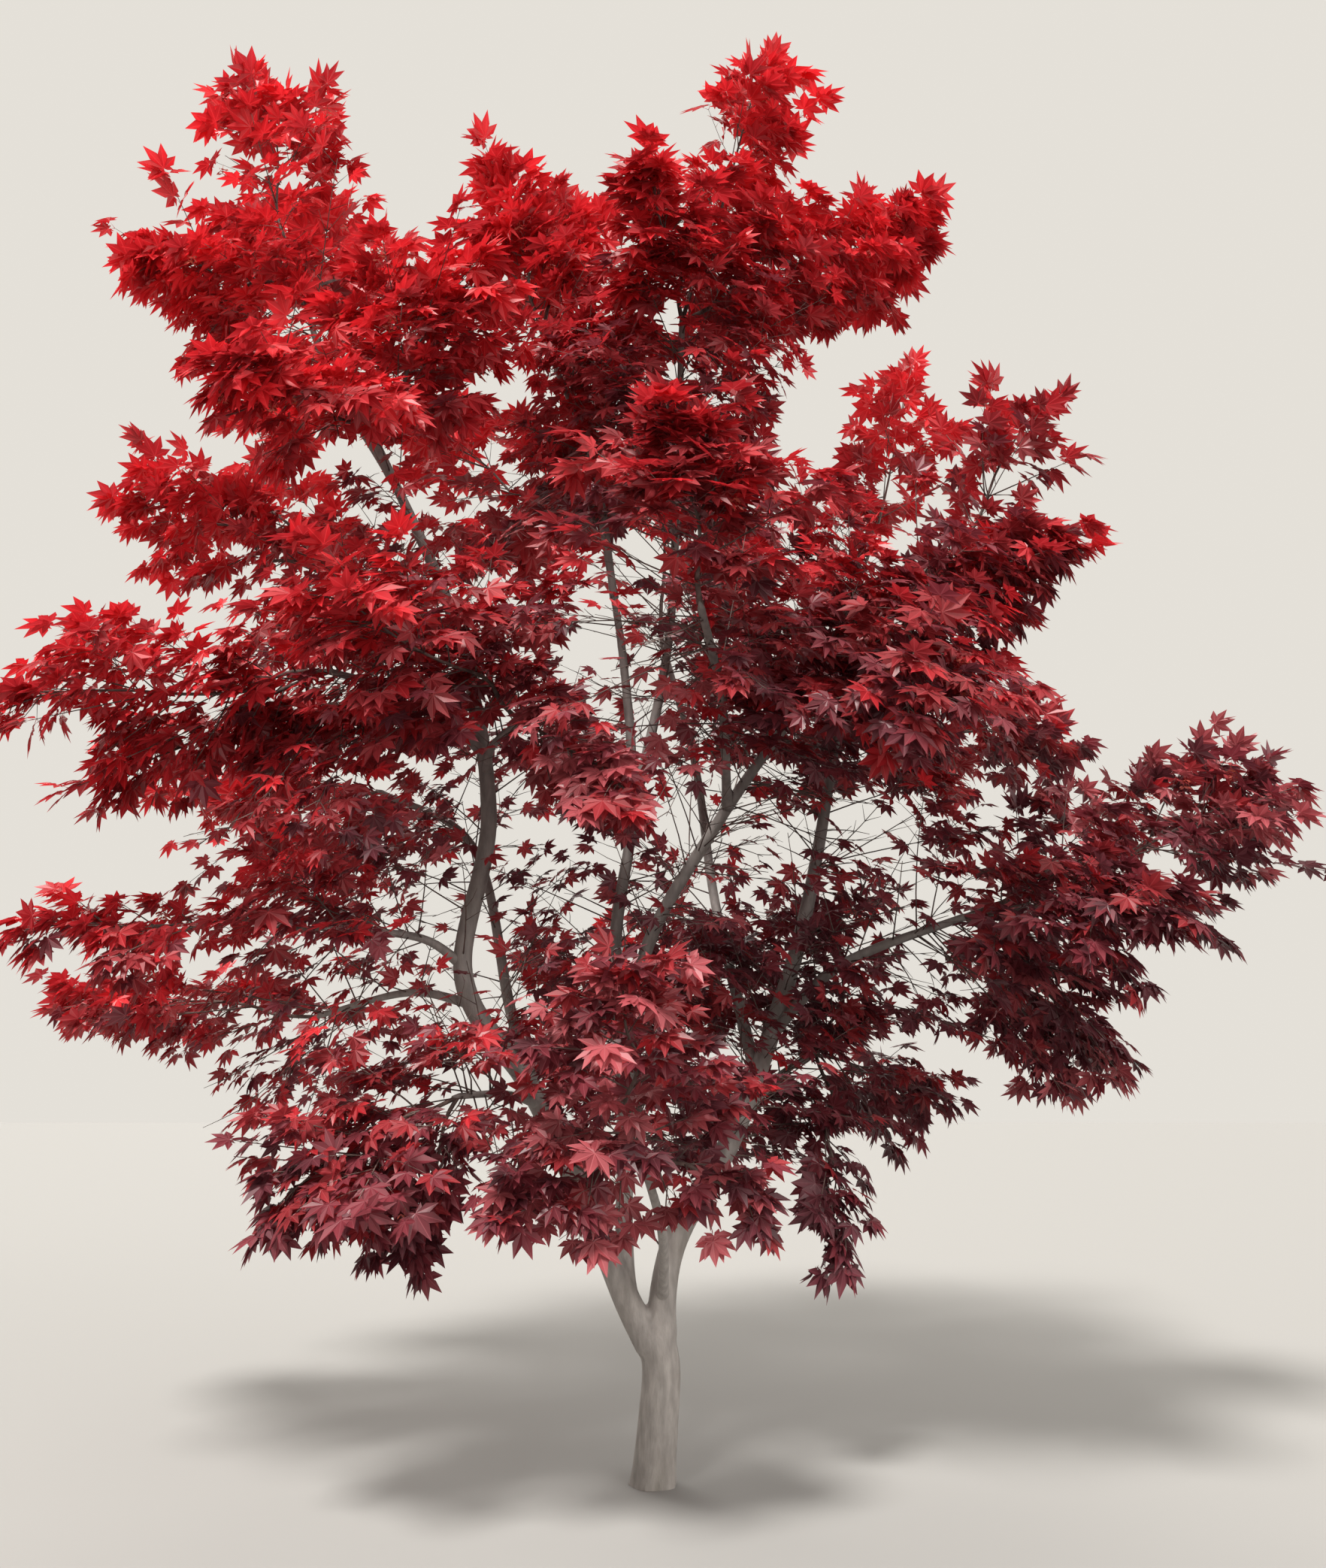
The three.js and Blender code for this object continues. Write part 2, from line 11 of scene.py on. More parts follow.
import bpy
import numpy as np
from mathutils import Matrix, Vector

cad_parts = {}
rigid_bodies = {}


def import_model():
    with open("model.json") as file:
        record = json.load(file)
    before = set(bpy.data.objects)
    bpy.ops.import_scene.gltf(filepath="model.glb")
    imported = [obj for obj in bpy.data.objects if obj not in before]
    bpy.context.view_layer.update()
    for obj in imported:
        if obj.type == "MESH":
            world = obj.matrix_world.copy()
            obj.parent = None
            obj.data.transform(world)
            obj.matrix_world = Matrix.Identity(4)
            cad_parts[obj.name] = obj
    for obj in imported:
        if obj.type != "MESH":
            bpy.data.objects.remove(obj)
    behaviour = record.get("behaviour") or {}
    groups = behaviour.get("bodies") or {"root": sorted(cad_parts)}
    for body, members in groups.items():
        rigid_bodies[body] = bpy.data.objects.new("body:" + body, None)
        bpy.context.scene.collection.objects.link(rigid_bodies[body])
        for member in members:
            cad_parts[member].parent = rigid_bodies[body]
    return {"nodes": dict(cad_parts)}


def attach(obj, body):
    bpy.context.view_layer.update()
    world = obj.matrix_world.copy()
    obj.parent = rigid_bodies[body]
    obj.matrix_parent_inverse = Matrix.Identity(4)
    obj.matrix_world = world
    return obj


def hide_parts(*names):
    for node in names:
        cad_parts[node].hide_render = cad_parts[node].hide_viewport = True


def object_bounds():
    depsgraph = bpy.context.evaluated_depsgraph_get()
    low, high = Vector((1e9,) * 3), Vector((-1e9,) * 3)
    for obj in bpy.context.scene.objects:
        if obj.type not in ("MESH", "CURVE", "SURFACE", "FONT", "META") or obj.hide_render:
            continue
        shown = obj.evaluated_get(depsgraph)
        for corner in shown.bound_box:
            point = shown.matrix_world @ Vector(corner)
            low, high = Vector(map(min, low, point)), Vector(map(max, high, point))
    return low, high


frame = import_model()
solid_box = [list(corner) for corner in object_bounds()]
print("solids:", len(frame["nodes"]), "box:", solid_box)

# %% [markdown]
# The camera stands where the photograph was taken: about a metre above the foot of the tree and three and
# a half metres in front of it, tilted up. The way that upright and level lines lean in the photograph gave
# its tilt and its focal length. Looking up from so near is what makes the low boughs loom and the top lean
# away, so the camera is placed before anything is judged through it.

# %% Place the camera
CAMERA_SPOT = (0.022, -3.5, 0.956)
CAMERA_TILT = math.radians(12.87)
CAMERA_LENS = 30.06
CAMERA_SENSOR = 36.0
CAMERA_NEAREST = 0.05

camera_data = bpy.data.cameras.new("eye")
camera_data.lens = CAMERA_LENS
camera_data.sensor_width = CAMERA_SENSOR
camera_data.clip_start = CAMERA_NEAREST
camera = bpy.data.objects.new("eye", camera_data)
camera.location = CAMERA_SPOT
camera.rotation_euler = (math.radians(90) + CAMERA_TILT, 0, 0)
bpy.context.scene.collection.objects.link(camera)
bpy.context.scene.camera = camera
print("camera", CAMERA_SPOT, "lens", CAMERA_LENS)

# %% [markdown]
# A tree is best held as a table of rows, not as shapes. Each limb row names what the limb grows from, how
# far along that one, its radius at both ends, and the few points that it passes. Each foliage row names
# the limb whose tip carries it, its far end, its width and its depth. The solids were grown from the same
# rows, so everything that follows lands where the solids are.

# %% The rows of the trunk, the limbs and the foliage
TRUNK_WAY = [(-0.002, 0, -0.03), (0.01, 0, 0.145), (0.017, 0, 0.26), (0.005, 0, 0.34)]
TRUNK_FOOT, TRUNK_FORK = 0.051, 0.047
FLARE, FLARE_HEIGHT, FLARE_LOBES, FLARE_LOBE_SHARE = 0.008, 0.045, 5, 0.45

LIMB_ROWS = [
    ("left_stem", "trunk", 0.89, 0.035, 0.012, [
        (-0.055, -0.008, 0.4), (-0.135, -0.022, 0.575), (-0.31, -0.06, 0.935), (-0.495, -0.08, 1.225),
        (-0.445, -0.06, 1.665), (-0.545, -0.125, 2.175), (-0.775, -0.24, 2.69)]),
    ("right_stem", "trunk", 0.92, 0.035, 0.012, [
        (0.048, 0.015, 0.555), (0.205, 0.03, 0.825), (0.35, 0.08, 1.195), (0.44, 0.125, 1.51),
        (0.55, 0.2, 2.06)]),
    ("centre_stem", "left_stem", 0.06, 0.024, 0.01, [
        (-0.078, 0.025, 0.61), (-0.08, 0.08, 0.84), (-0.11, 0.14, 1.325), (-0.065, 0.16, 1.72),
        (-0.095, 0.19, 2.17), (-0.165, 0.18, 2.62)]),
    ("inner_right", "centre_stem", 0.21, 0.021, 0.01, [
        (-0.03, 0.04, 1.285), (0.15, -0.03, 1.61), (0.4, -0.13, 1.95), (0.65, -0.2, 2.2)]),
    ("leader", "centre_stem", 0.58, 0.015, 0.009, [
        (0.03, 0.14, 2.155), (0.06, 0.1, 2.56), (0.08, 0.02, 3.205)]),
    ("behind_left", "left_stem", 0.25, 0.018, 0.009, [
        (-0.39, 0.12, 1.135), (-0.53, 0.24, 1.625), (-0.845, 0.36, 1.82)]),
    ("inner_back", "right_stem", 0.39, 0.016, 0.01, [
        (0.175, 0.33, 1.475), (0.125, 0.57, 1.945), (0.015, 0.82, 2.46)]),
    ("left_tier", "left_stem", 0.42, 0.012, 0.007, [
        (-0.605, -0.14, 1.32), (-0.82, -0.26, 1.33)]),
    ("left_low", "left_stem", 0.38, 0.012, 0.007, [
        (-0.66, 0.02, 1.19), (-0.95, 0.16, 1.13)]),
    ("low_left", "left_stem", 0.26, 0.011, 0.007, [
        (-0.37, -0.2, 0.93), (-0.475, -0.33, 0.925)]),
    ("right_low", "right_stem", 0.455, 0.016, 0.01, [
        (0.5, 0.02, 1.265), (0.835, -0.06, 1.39)]),
    ("right_down", "right_stem", 0.32, 0.012, 0.007, [
        (0.345, 0.16, 0.98), (0.465, 0.28, 1.04)]),
    ("mid_left", "left_stem", 0.64, 0.013, 0.008, [
        (-0.6, -0.28, 1.915), (-0.8, -0.48, 1.93)]),
    ("mid_left_up", "left_stem", 0.755, 0.012, 0.008, [
        (-0.715, 0.04, 2.295), (-1.025, 0.2, 2.46)]),
    ("top_left", "left_stem", 0.94, 0.011, 0.008, [
        (-0.905, -0.2, 2.875), (-1.005, -0.15, 3.14)]),
    ("front_low", "right_stem", 0.06, 0.014, 0.009, [
        (0.02, -0.22, 0.61), (-0.03, -0.48, 0.81)]),
    ("front_high", "inner_right", 0.55, 0.013, 0.009, [
        (0.165, -0.42, 1.875), (0.105, -0.7, 2.02)]),
    ("back_low", "centre_stem", 0.095, 0.014, 0.009, [
        (-0.05, 0.42, 0.875), (-0.055, 0.7, 0.935)]),
    ("centre_up", "centre_stem", 0.885, 0.011, 0.008, [
        (-0.19, 0.18, 2.79), (-0.355, 0.12, 3.215)]),
    ("elbow", "left_stem", 0.618, 0.011, 0.008, [
        (-0.425, -0.17, 1.82), (-0.33, -0.3, 1.86)]),
]
MASS_ROWS = [
    ("upper_left_centre", "left_stem", (-0.48, -0.3, 3.205), 0.76, 0.48),
    ("upper_left_front", "left_stem", (-0.94, -0.9, 2.505), 0.62, 0.4),
    ("left_peak", "top_left", (-1.18, -0.15, 3.895), 0.5, 0.74),
    ("left_shoulder", "top_left", (-1.41, -0.35, 3.18), 0.6, 0.42),
    ("left_top_back", "top_left", (-1.09, 0.64, 3.93), 0.62, 0.48),
    ("high_left", "centre_up", (-0.5, 0.04, 3.74), 0.46, 0.4),
    ("high_mid", "centre_up", (-0.25, 0.42, 3.87), 0.52, 0.4),
    ("mid_crown", "centre_stem", (-0.84, 0.76, 3.2), 0.8, 0.56),
    ("peak", "leader", (0.37, 0, 4.15), 0.52, 0.42),
    ("leader_left", "leader", (-0.03, -0.42, 3.42), 0.48, 0.4),
    ("top_right_pad", "leader", (0.9, 0.2, 3.61), 0.76, 0.56),
    ("centre_back", "inner_back", (0.01, 1.13, 3.46), 0.94, 0.7),
    ("right_plume", "inner_right", (1.14, -0.16, 2.875), 0.52, 0.4),
    ("right_shelf", "inner_right", (1.085, -0.3, 2.37), 0.64, 0.46),
    ("right_front", "inner_right", (0.53, -0.9, 1.68), 0.72, 0.4),
    ("right_mid", "right_stem", (1.39, 0.72, 2.035), 0.68, 0.52),
    ("right_behind", "right_stem", (0.96, 0.95, 3.58), 0.7, 0.52),
    ("far_right", "right_low", (1.81, 0.13, 1.79), 0.7, 0.66),
    ("far_right_front", "right_low", (1.18, -0.65, 1.34), 0.66, 0.4),
    ("low_right_pad", "right_low", (1.24, 0.12, 1.01), 0.72, 0.56),
    ("right_skirt", "right_down", (0.785, 0.62, 0.935), 0.68, 0.5),
    ("right_tassel", "right_down", (0.475, -0.12, 0.54), 0.34, 0.32),
    ("right_inner", "right_down", (0.655, 0.33, 1.63), 0.42, 0.36),
    ("front_centre", "front_low", (-0.07, -0.86, 1.225), 0.62, 0.46),
    ("front_left", "front_low", (-0.32, -0.62, 0.7), 0.54, 0.36),
    ("front_right", "front_low", (0.23, -0.56, 0.71), 0.5, 0.3),
    ("front_crown", "front_high", (0.05, -0.95, 2.385), 0.82, 0.52),
    ("mid_cluster", "elbow", (-0.045, -0.7, 1.58), 0.5, 0.4),
    ("mid_left_front", "elbow", (-0.74, -0.95, 1.985), 0.7, 0.48),
    ("left_reach", "mid_left", (-1.505, -0.7, 1.775), 0.62, 0.46),
    ("left_under", "mid_left", (-1.39, -0.3, 1.665), 0.58, 0.32),
    ("left_upper_reach", "mid_left_up", (-1.59, 0.1, 2.68), 0.58, 0.44),
    ("left_rise", "mid_left_up", (-1.44, 0.62, 3.27), 0.54, 0.44),
    ("left_back_low", "behind_left", (-1.58, 0.85, 1.75), 0.76, 0.5),
    ("left_tier_pad", "left_tier", (-1.54, -0.4, 1.32), 0.64, 0.32),
    ("left_low_pad", "left_low", (-1.74, 0.36, 1.215), 0.66, 0.32),
    ("skirt_left", "low_left", (-0.855, -0.5, 0.68), 0.7, 0.6),
    ("low_tassel", "low_left", (-0.545, -0.3, 0.6), 0.32, 0.32),
    ("back_skirt", "back_low", (-0.13, 1.23, 1.58), 0.9, 0.6),
]
print("limbs", 1 + len(LIMB_ROWS), "masses of foliage", len(MASS_ROWS))

# %% [markdown]
# A limb bends smoothly through its points. A Catmull-Rom curve does that: between two points it follows
# the cubic whose slope at each one is half the step from the point before to the point after. It is then
# walked with even steps, so that a share of its length means the same here as in the solids.

# %% Curves through points
RIGHT, BACK, UP = np.eye(3)
CURVE_STEPS = 400
CHORD = 0.02


def unit(vectors):
    """Vectors divided by their lengths."""
    return vectors / np.maximum(np.linalg.norm(vectors, axis=-1, keepdims=True), 1e-9)


def curve_through(way):
    """Points at even steps of length. Between the points a and b of the way, with u going from 0 to 1, the
    curve is (2u3-3u2+1)a + (u3-2u2+u)m + (3u2-2u3)b + (u3-u2)n, where m and n are half the step between
    the neighbours of a and of b. Past its ends, the way is carried on in a line."""
    way = np.asarray(way, dtype=float)
    points = np.vstack([2 * way[0] - way[1], way, 2 * way[-1] - way[-2]])
    time = np.linspace(0, len(way) - 1, CURVE_STEPS)
    piece = np.minimum(time.astype(int), len(way) - 2)
    u = (time - piece)[:, None]
    before, start, stop, after = (points[piece + i] for i in range(4))
    leave, arrive = (stop - before) / 2, (after - start) / 2
    curve = (2 * u**3 - 3 * u**2 + 1) * start + (u**3 - 2 * u**2 + u) * leave
    curve += (3 * u**2 - 2 * u**3) * stop + (u**3 - u**2) * arrive
    along = np.concatenate([[0], np.cumsum(np.linalg.norm(np.diff(curve, axis=0), axis=1))])
    even = np.linspace(0, along[-1], CURVE_STEPS)
    return np.stack([np.interp(even, along, curve[:, k]) for k in range(3)], axis=1)


def on_curve(curve, share):
    """Points of a curve at shares of its length, in a line between its steps."""
    at = np.clip(share, 0, 1) * (CURVE_STEPS - 1)
    return np.stack([np.interp(at, np.arange(CURVE_STEPS), curve[:, k]) for k in range(3)], axis=-1)


def slope_of(curve, share):
    """The unit chord of a curve from a little before each share of its length to a little after."""
    return unit(on_curve(curve, share + CHORD) - on_curve(curve, share - CHORD))


def length_of(curve):
    """The sum of a curve's steps."""
    return float(np.linalg.norm(np.diff(curve, axis=0), axis=1).sum())


limbs = {"trunk": {"curve": curve_through(TRUNK_WAY), "base": TRUNK_FOOT, "tip": TRUNK_FORK, "parent": None}}
for name, parent, at, base, tip, way in LIMB_ROWS:
    root = on_curve(limbs[parent]["curve"], at)
    limbs[name] = {"curve": curve_through([root, *way]), "base": base, "tip": tip, "parent": parent}
print("length of all limbs", round(sum(length_of(limb["curve"]) for limb in limbs.values()), 2))

# %% [markdown]
# Every piece goes into Blender as plain arrays: points, triangles and, for leaves, the flat coordinates
# that their veins are painted in. foreach_set hands over a whole array at once, which makes half a
# million triangles a matter of a second. The object itself stays at the origin, unturned and unscaled.

# %% Arrays into a mesh
def add_piece(name, points, triangles, material, flat=None, smooth=False):
    """An object at the origin from point and triangle arrays; flat has a pair of coordinates for each
    corner of each triangle."""
    mesh = bpy.data.meshes.new(name)
    mesh.vertices.add(len(points))
    mesh.vertices.foreach_set("co", np.ascontiguousarray(points, dtype=np.float32).ravel())
    mesh.loops.add(triangles.size)
    mesh.loops.foreach_set("vertex_index", np.ascontiguousarray(triangles, dtype=np.int32).ravel())
    mesh.polygons.add(len(triangles))
    mesh.polygons.foreach_set("loop_start", np.arange(0, triangles.size, 3, dtype=np.int32))
    mesh.polygons.foreach_set("use_smooth", np.full(len(triangles), smooth))
    if flat is not None:
        layer = mesh.uv_layers.new(name="flat")
        layer.data.foreach_set("uv", np.ascontiguousarray(flat, dtype=np.float32).ravel())
    mesh.update(calc_edges=True)
    mesh.validate()
    mesh.materials.append(material)
    piece = bpy.data.objects.new(name, mesh)
    bpy.context.scene.collection.objects.link(piece)
    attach(piece, "root")
    print(name, len(mesh.polygons), "triangles")
    return piece


def join(parts):
    """Point and triangle arrays of many meshes as one."""
    counts = np.cumsum([0] + [len(points) for points, _ in parts[:-1]])
    triangles = [faces + first for (_, faces), first in zip(parts, counts)]
    return np.concatenate([points for points, _ in parts]), np.concatenate(triangles)


def copies(pattern, points_each, count):
    """A pattern of triangles for each of many copies, whose points follow each other in one list."""
    return (pattern[None] + (points_each * np.arange(count))[:, None, None]).reshape(-1, 3)

# %% [markdown]
# A finish is a small network of nodes: noise gives a pattern, a ramp turns it into colours, and a mix lays
# one colour over another. Each of these steps is wanted many times, so each gets a short helper here, and
# a material further down then reads like a recipe.

# %% Helpers for materials
def new_material(name):
    """A material with an empty node tree, and a helper that adds a node with its settings and inputs; an
    input that is another node's output gets a link."""
    material = bpy.data.materials.new(name)
    material.use_nodes = True
    tree = material.node_tree
    tree.nodes.clear()

    def add(kind, values=(), **settings):
        node = tree.nodes.new(kind)
        for key, value in settings.items():
            setattr(node, key, value)
        for key, value in dict(values).items():
            if isinstance(value, bpy.types.NodeSocket):
                tree.links.new(value, node.inputs[key])
            else:
                node.inputs[key].default_value = value
        return node

    return material, add


def noise_at(add, place, scale, detail, up_scale=1):
    """Noise of a place's coordinates; an up_scale under 1 draws the pattern out along Z."""
    mapped = add("ShaderNodeMapping", {"Vector": place, "Scale": (1, 1, up_scale)})
    noise = add("ShaderNodeTexNoise", {"Vector": mapped.outputs[0], "Scale": scale, "Detail": detail})
    return noise.outputs["Fac"]


def shades(add, amount, stops):
    """A colour ramp: (position, colour) pairs read by an amount."""
    ramp = add("ShaderNodeValToRGB", {"Fac": amount})
    elements = ramp.color_ramp.elements
    while len(elements) < len(stops):
        elements.new(0.5)
    for element, (position, colour) in zip(elements, stops):
        element.position = position
        element.color = (*colour, 1)
    return ramp.outputs["Color"]


def grey(value):
    """One value for red, green and blue: a ramp of greys is an amount."""
    return (value, value, value)


def blend_of(add, amount, first, second, mode="MIX"):
    """Two colours mixed by an amount."""
    mix = add("ShaderNodeMix", data_type="RGBA", blend_type=mode)
    for socket, value in zip((mix.inputs[0], mix.inputs[6], mix.inputs[7]), (amount, first, second)):
        if isinstance(value, bpy.types.NodeSocket):
            mix.id_data.links.new(value, socket)
        else:
            socket.default_value = value
    return mix.outputs[2]

# %% [markdown]
# Bark of this tree is thin and smooth: warm grey, with fine pale streaks that run up the limb, darker
# brownish patches, and a green film where rain runs down. Noise that is drawn out along Z gives the
# streaks, and two slower noises give the patches and the film. The streaks also drive the bump, with a
# finer grain added, so that colour and relief agree. Higher up, under the leaves, the bark is darkened
# with height: a painted shade for the shadow that the crown casts on the limbs.

# %% The bark material
STREAKS, PATCHES, FILM, GRAIN = (60, 4, 0.3), (9, 3, 0.5), (4, 2, 0.4), (260, 3, 0.25)
STREAK_DARK, STREAK_MIDDLE, STREAK_LIGHT = 0.3, 0.5, 0.68
PATCH_FROM, PATCH_FULL, PATCH_SHARE = 0.52, 0.72, 0.4
PATCH_TINT = (0.8, 0.75, 0.68)
FILM_FROM, FILM_FULL, FILM_SHARE = 0.6, 0.78, 0.25
FILM_GREEN = (0.12, 0.13, 0.07, 1)
# Painted shade: between these heights the bark is multiplied down to the grey below, for the crown's shadow
# on the limbs.
SHADE_FROM, SHADE_FULL = 0.5, 1.7
PAINTED_CROWN_SHADE = (0.66, 0.64, 0.65, 1)
BARK_ROUGHNESS, BARK_BUMP, BARK_DEPTH = 0.7, 0.3, 0.004


def bark_material(name, light, dark):
    """Streaks go from dark to light; the patches are the dark colour times a tint, the film a green; and
    the whole is multiplied by a painted shade that grows with height, for the crown's shadow on the limbs."""
    material, add = new_material(name)
    place = add("ShaderNodeTexCoord").outputs["Object"]
    streaks, patches, film, grain = (noise_at(add, place, *kind) for kind in (STREAKS, PATCHES, FILM, GRAIN))
    middle = [(a + b) / 2 for a, b in zip(light, dark)]
    colour = shades(add, streaks, [(STREAK_DARK, dark), (STREAK_MIDDLE, middle), (STREAK_LIGHT, light)])
    patched = shades(add, patches, [(PATCH_FROM, grey(0)), (PATCH_FULL, grey(PATCH_SHARE))])
    stained = blend_of(add, patched, colour, (*[a * b for a, b in zip(dark, PATCH_TINT)], 1))
    filmed = shades(add, film, [(FILM_FROM, grey(0)), (FILM_FULL, grey(FILM_SHARE))])
    green = blend_of(add, filmed, stained, FILM_GREEN)
    # Painted shade: the colour is darkened with height, for the shadow that the crown casts on the limbs.
    height = add("ShaderNodeSeparateXYZ", {"Vector": place}).outputs[2]
    rise = add("ShaderNodeMapRange", {"Value": height, "From Min": SHADE_FROM, "From Max": SHADE_FULL})
    shaded = blend_of(add, rise.outputs[0], green, PAINTED_CROWN_SHADE, "MULTIPLY")
    relief = add("ShaderNodeMath", {0: streaks, 1: grain}, operation="ADD")
    dent = add("ShaderNodeBump", {"Height": relief.outputs[0], "Strength": BARK_BUMP, "Distance": BARK_DEPTH})
    skin = add("ShaderNodeBsdfPrincipled", {"Base Color": shaded, "Roughness": BARK_ROUGHNESS,
                                            "Normal": dent.outputs[0]})
    add("ShaderNodeOutputMaterial", {"Surface": skin.outputs[0]})
    return material


BARK = bark_material("bark", (0.34, 0.312, 0.29), (0.22, 0.2, 0.186))
TWIG_BARK = bark_material("twig_bark", (0.20, 0.14, 0.12), (0.07, 0.04, 0.035))
print("bark materials", BARK.name, TWIG_BARK.name)

# %% [markdown]
# A limb, a twig and a stalk are all the same shape, a tube: rings of points along a line, joined by
# triangles and closed at both ends. Blender's own curves could make tubes, but only with an even section,
# so these are worked out in numpy, where the radius may change with every point.

# %% Rings into a tube
ALONG_BACK = 0.6


def grid_faces(steps, sides):
    """Triangles of a closed tube of rings, with a fan of triangles over each end."""
    ring = np.arange(sides)
    after = (ring + 1) % sides
    start = sides * np.arange(steps - 1)[:, None]
    one = np.stack([start + ring, start + after, start + sides + after], axis=-1)
    two = np.stack([start + ring, start + sides + after, start + sides + ring], axis=-1)
    fan = np.arange(1, sides - 1)
    last = sides * (steps - 1)
    foot = np.stack([np.zeros_like(fan), fan + 1, fan], axis=-1)
    head = np.stack([np.full(sides - 2, last), last + fan, last + fan + 1], axis=-1)
    return np.concatenate([one.reshape(-1, 3), two.reshape(-1, 3), foot, head])


def tube(centres, radius, sides):
    """Each point is its centre + radius (cos turn S + sin turn T), where S and T are square to the line of
    centres. S is also square to +Y, or to +X where the line runs mostly along +Y."""
    tangents = unit(np.gradient(centres, axis=0))
    guide = BACK if abs(tangents[:, 1]).mean() < ALONG_BACK else RIGHT
    side = unit(np.cross(tangents, guide))
    over = np.cross(tangents, side)
    turn = np.linspace(0, 2 * np.pi, sides, endpoint=False)[None, :, None]
    out = np.cos(turn) * side[:, None] + np.sin(turn) * over[:, None]
    rings = centres[:, None] + radius[..., None] * out
    return rings.reshape(-1, 3), grid_faces(len(centres), sides)


print("a tube of 2 rings and 3 sides has", len(grid_faces(2, 3)), "triangles")

# %% [markdown]
# On the real tree a limb isn't a plain cone. It swells into a collar where it leaves its parent, it has
# slow lumps, and the trunk flares into a few lobes at its foot. All of that is only a change of radius, so
# one function of the share along the limb and the turn round it makes every limb.

# %% The shape of a limb
RING_STEP, RINGS_LEAST = 0.02, 12
LOBE_START = 0.4
COLLAR_SHARE, COLLAR_REACH = 0.25, 0.03
BLUNT_SHARE = 0.25
LUMPS_SHARE, LUMP_WAVES = 0.0175, ((2, 9, 0), (3, -14, 2))


def limb_tube(name, sides):
    """Rings whose radius goes evenly from base to tip, plus a collar that fades with the distance from the
    parent's bark, and lumps, a sum of slow sines of waves round the limb, waves along it and a start. The
    trunk gets the lobed flare of its foot, which fades with height, and other limbs a round tip."""
    limb = limbs[name]
    length = length_of(limb["curve"])
    share = np.linspace(0, 1, max(int(length / RING_STEP), RINGS_LEAST))[:, None]
    centres = on_curve(limb["curve"], share[:, 0])
    turn = np.linspace(0, 2 * np.pi, sides, endpoint=False)[None, :]
    radius = limb["base"] + (limb["tip"] - limb["base"]) * share
    if name == "trunk":
        lobe = 1 + FLARE_LOBE_SHARE * np.cos(FLARE_LOBES * turn + LOBE_START)
        radius = radius + FLARE * lobe * np.exp(-np.maximum(centres[:, 2:3], 0) / FLARE_HEIGHT)
    else:
        parent = limbs[limb["parent"]]
        inside = (parent["base"] + parent["tip"]) / 2
        past = np.maximum(share * length - inside, 0)
        radius = radius * (1 + COLLAR_SHARE * np.exp(-past / COLLAR_REACH))
        round_off = np.sqrt(np.clip((1 - share) * length / limb["tip"], 0, 1))
        radius = radius * np.maximum(round_off, BLUNT_SHARE)
    lumps = sum(np.sin(around * turn + share * length * along + start) for around, along, start in LUMP_WAVES)
    return tube(centres, radius * (1 + LUMPS_SHARE * lumps), sides)


MELTED_SIDES, THIN_SIDES = 20, 12
foot = limb_tube("trunk", MELTED_SIDES)[0][:MELTED_SIDES]
print("foot of the trunk", np.ptp(foot, axis=0)[:2].round(3).tolist(), "metres across")

# %% [markdown]
# Bump in a material only changes how light falls, and an outline gives it away. So the thickest wood gets
# fine relief in its mesh as well: ridges that run up the bark, from a sum of waves that are short round the
# limb and long up it. A sum of sines has no repeats to see, and it needs no picture.

# %% Ridges for the bark
RELIEF, RELIEF_SEED = 0.0006, 3
GRAIN_SIZES = (1.0, 0.6, 0.35)
GRAIN_WAVES = 3
GRAIN_ACROSS, GRAIN_UP_LEAST, GRAIN_UP_MOST = 260, 12, 40
GRAIN_BEND, GRAIN_BEND_UP = 1.3, 17
GRAIN_SUM = 5.85
FULL_TURN = 6.28


def grain_of(points, seed):
    """A sum of sines of x, y and z whose waves are short round the limb and long up it, from -1 to 1: each
    size has three waves, so the sum is divided by three times the sum of the sizes."""
    rng = np.random.default_rng(seed)
    total = np.zeros(points.shape[:-1])
    for size in np.repeat(GRAIN_SIZES, GRAIN_WAVES):
        across = rng.normal(size=2) * GRAIN_ACROSS / size**0.5
        wave = points[..., :2] @ across + points[..., 2] * rng.uniform(GRAIN_UP_LEAST, GRAIN_UP_MOST)
        wave = wave + rng.uniform(0, FULL_TURN)
        total += size * np.sin(wave + GRAIN_BEND * np.sin(points[..., 2] * GRAIN_BEND_UP + across[0]))
    return total / GRAIN_SUM


print("ridges at three points", (RELIEF * grain_of(foot[:3], RELIEF_SEED)).round(5).tolist())

# %% [markdown]
# The trunk and its three stems are one piece of wood, and on the real tree the bark flows from one into
# the next: there is a crotch at the fork but no seam. Separate tubes would cut into each other along a
# hard line. So the tubes are made first, each from its own row, then melted together with a voxel remesh
# and smoothed, and only then get their ridges. The foot is pressed flat again, so that the tree stands on
# its cut.

# %% Trunk and stems, melted together
MELTED = ["trunk", "left_stem", "right_stem", "centre_stem"]
MELT_VOXEL = 0.0045
SOFTEN_SHARE, SOFTEN_ROUNDS = 0.5, 7

melt_points, melt_faces = join([limb_tube(name, MELTED_SIDES) for name in MELTED])
wood = add_piece("trunk_and_stems", melt_points, melt_faces, BARK, smooth=True)
wood.modifiers.new("melt", "REMESH").voxel_size = MELT_VOXEL
soften = wood.modifiers.new("soften", "SMOOTH")
soften.factor, soften.iterations = SOFTEN_SHARE, SOFTEN_ROUNDS
melted = bpy.data.meshes.new_from_object(wood.evaluated_get(bpy.context.evaluated_depsgraph_get()))
wood.modifiers.clear()
wood.data = melted
spots, normals = np.empty((2, 3 * len(melted.vertices)), dtype=np.float32)
melted.vertices.foreach_get("co", spots)
melted.vertex_normals.foreach_get("vector", normals)
spots, normals = spots.reshape(-1, 3).astype(float), normals.reshape(-1, 3)
spots += normals * (RELIEF * grain_of(spots, RELIEF_SEED))[:, None]
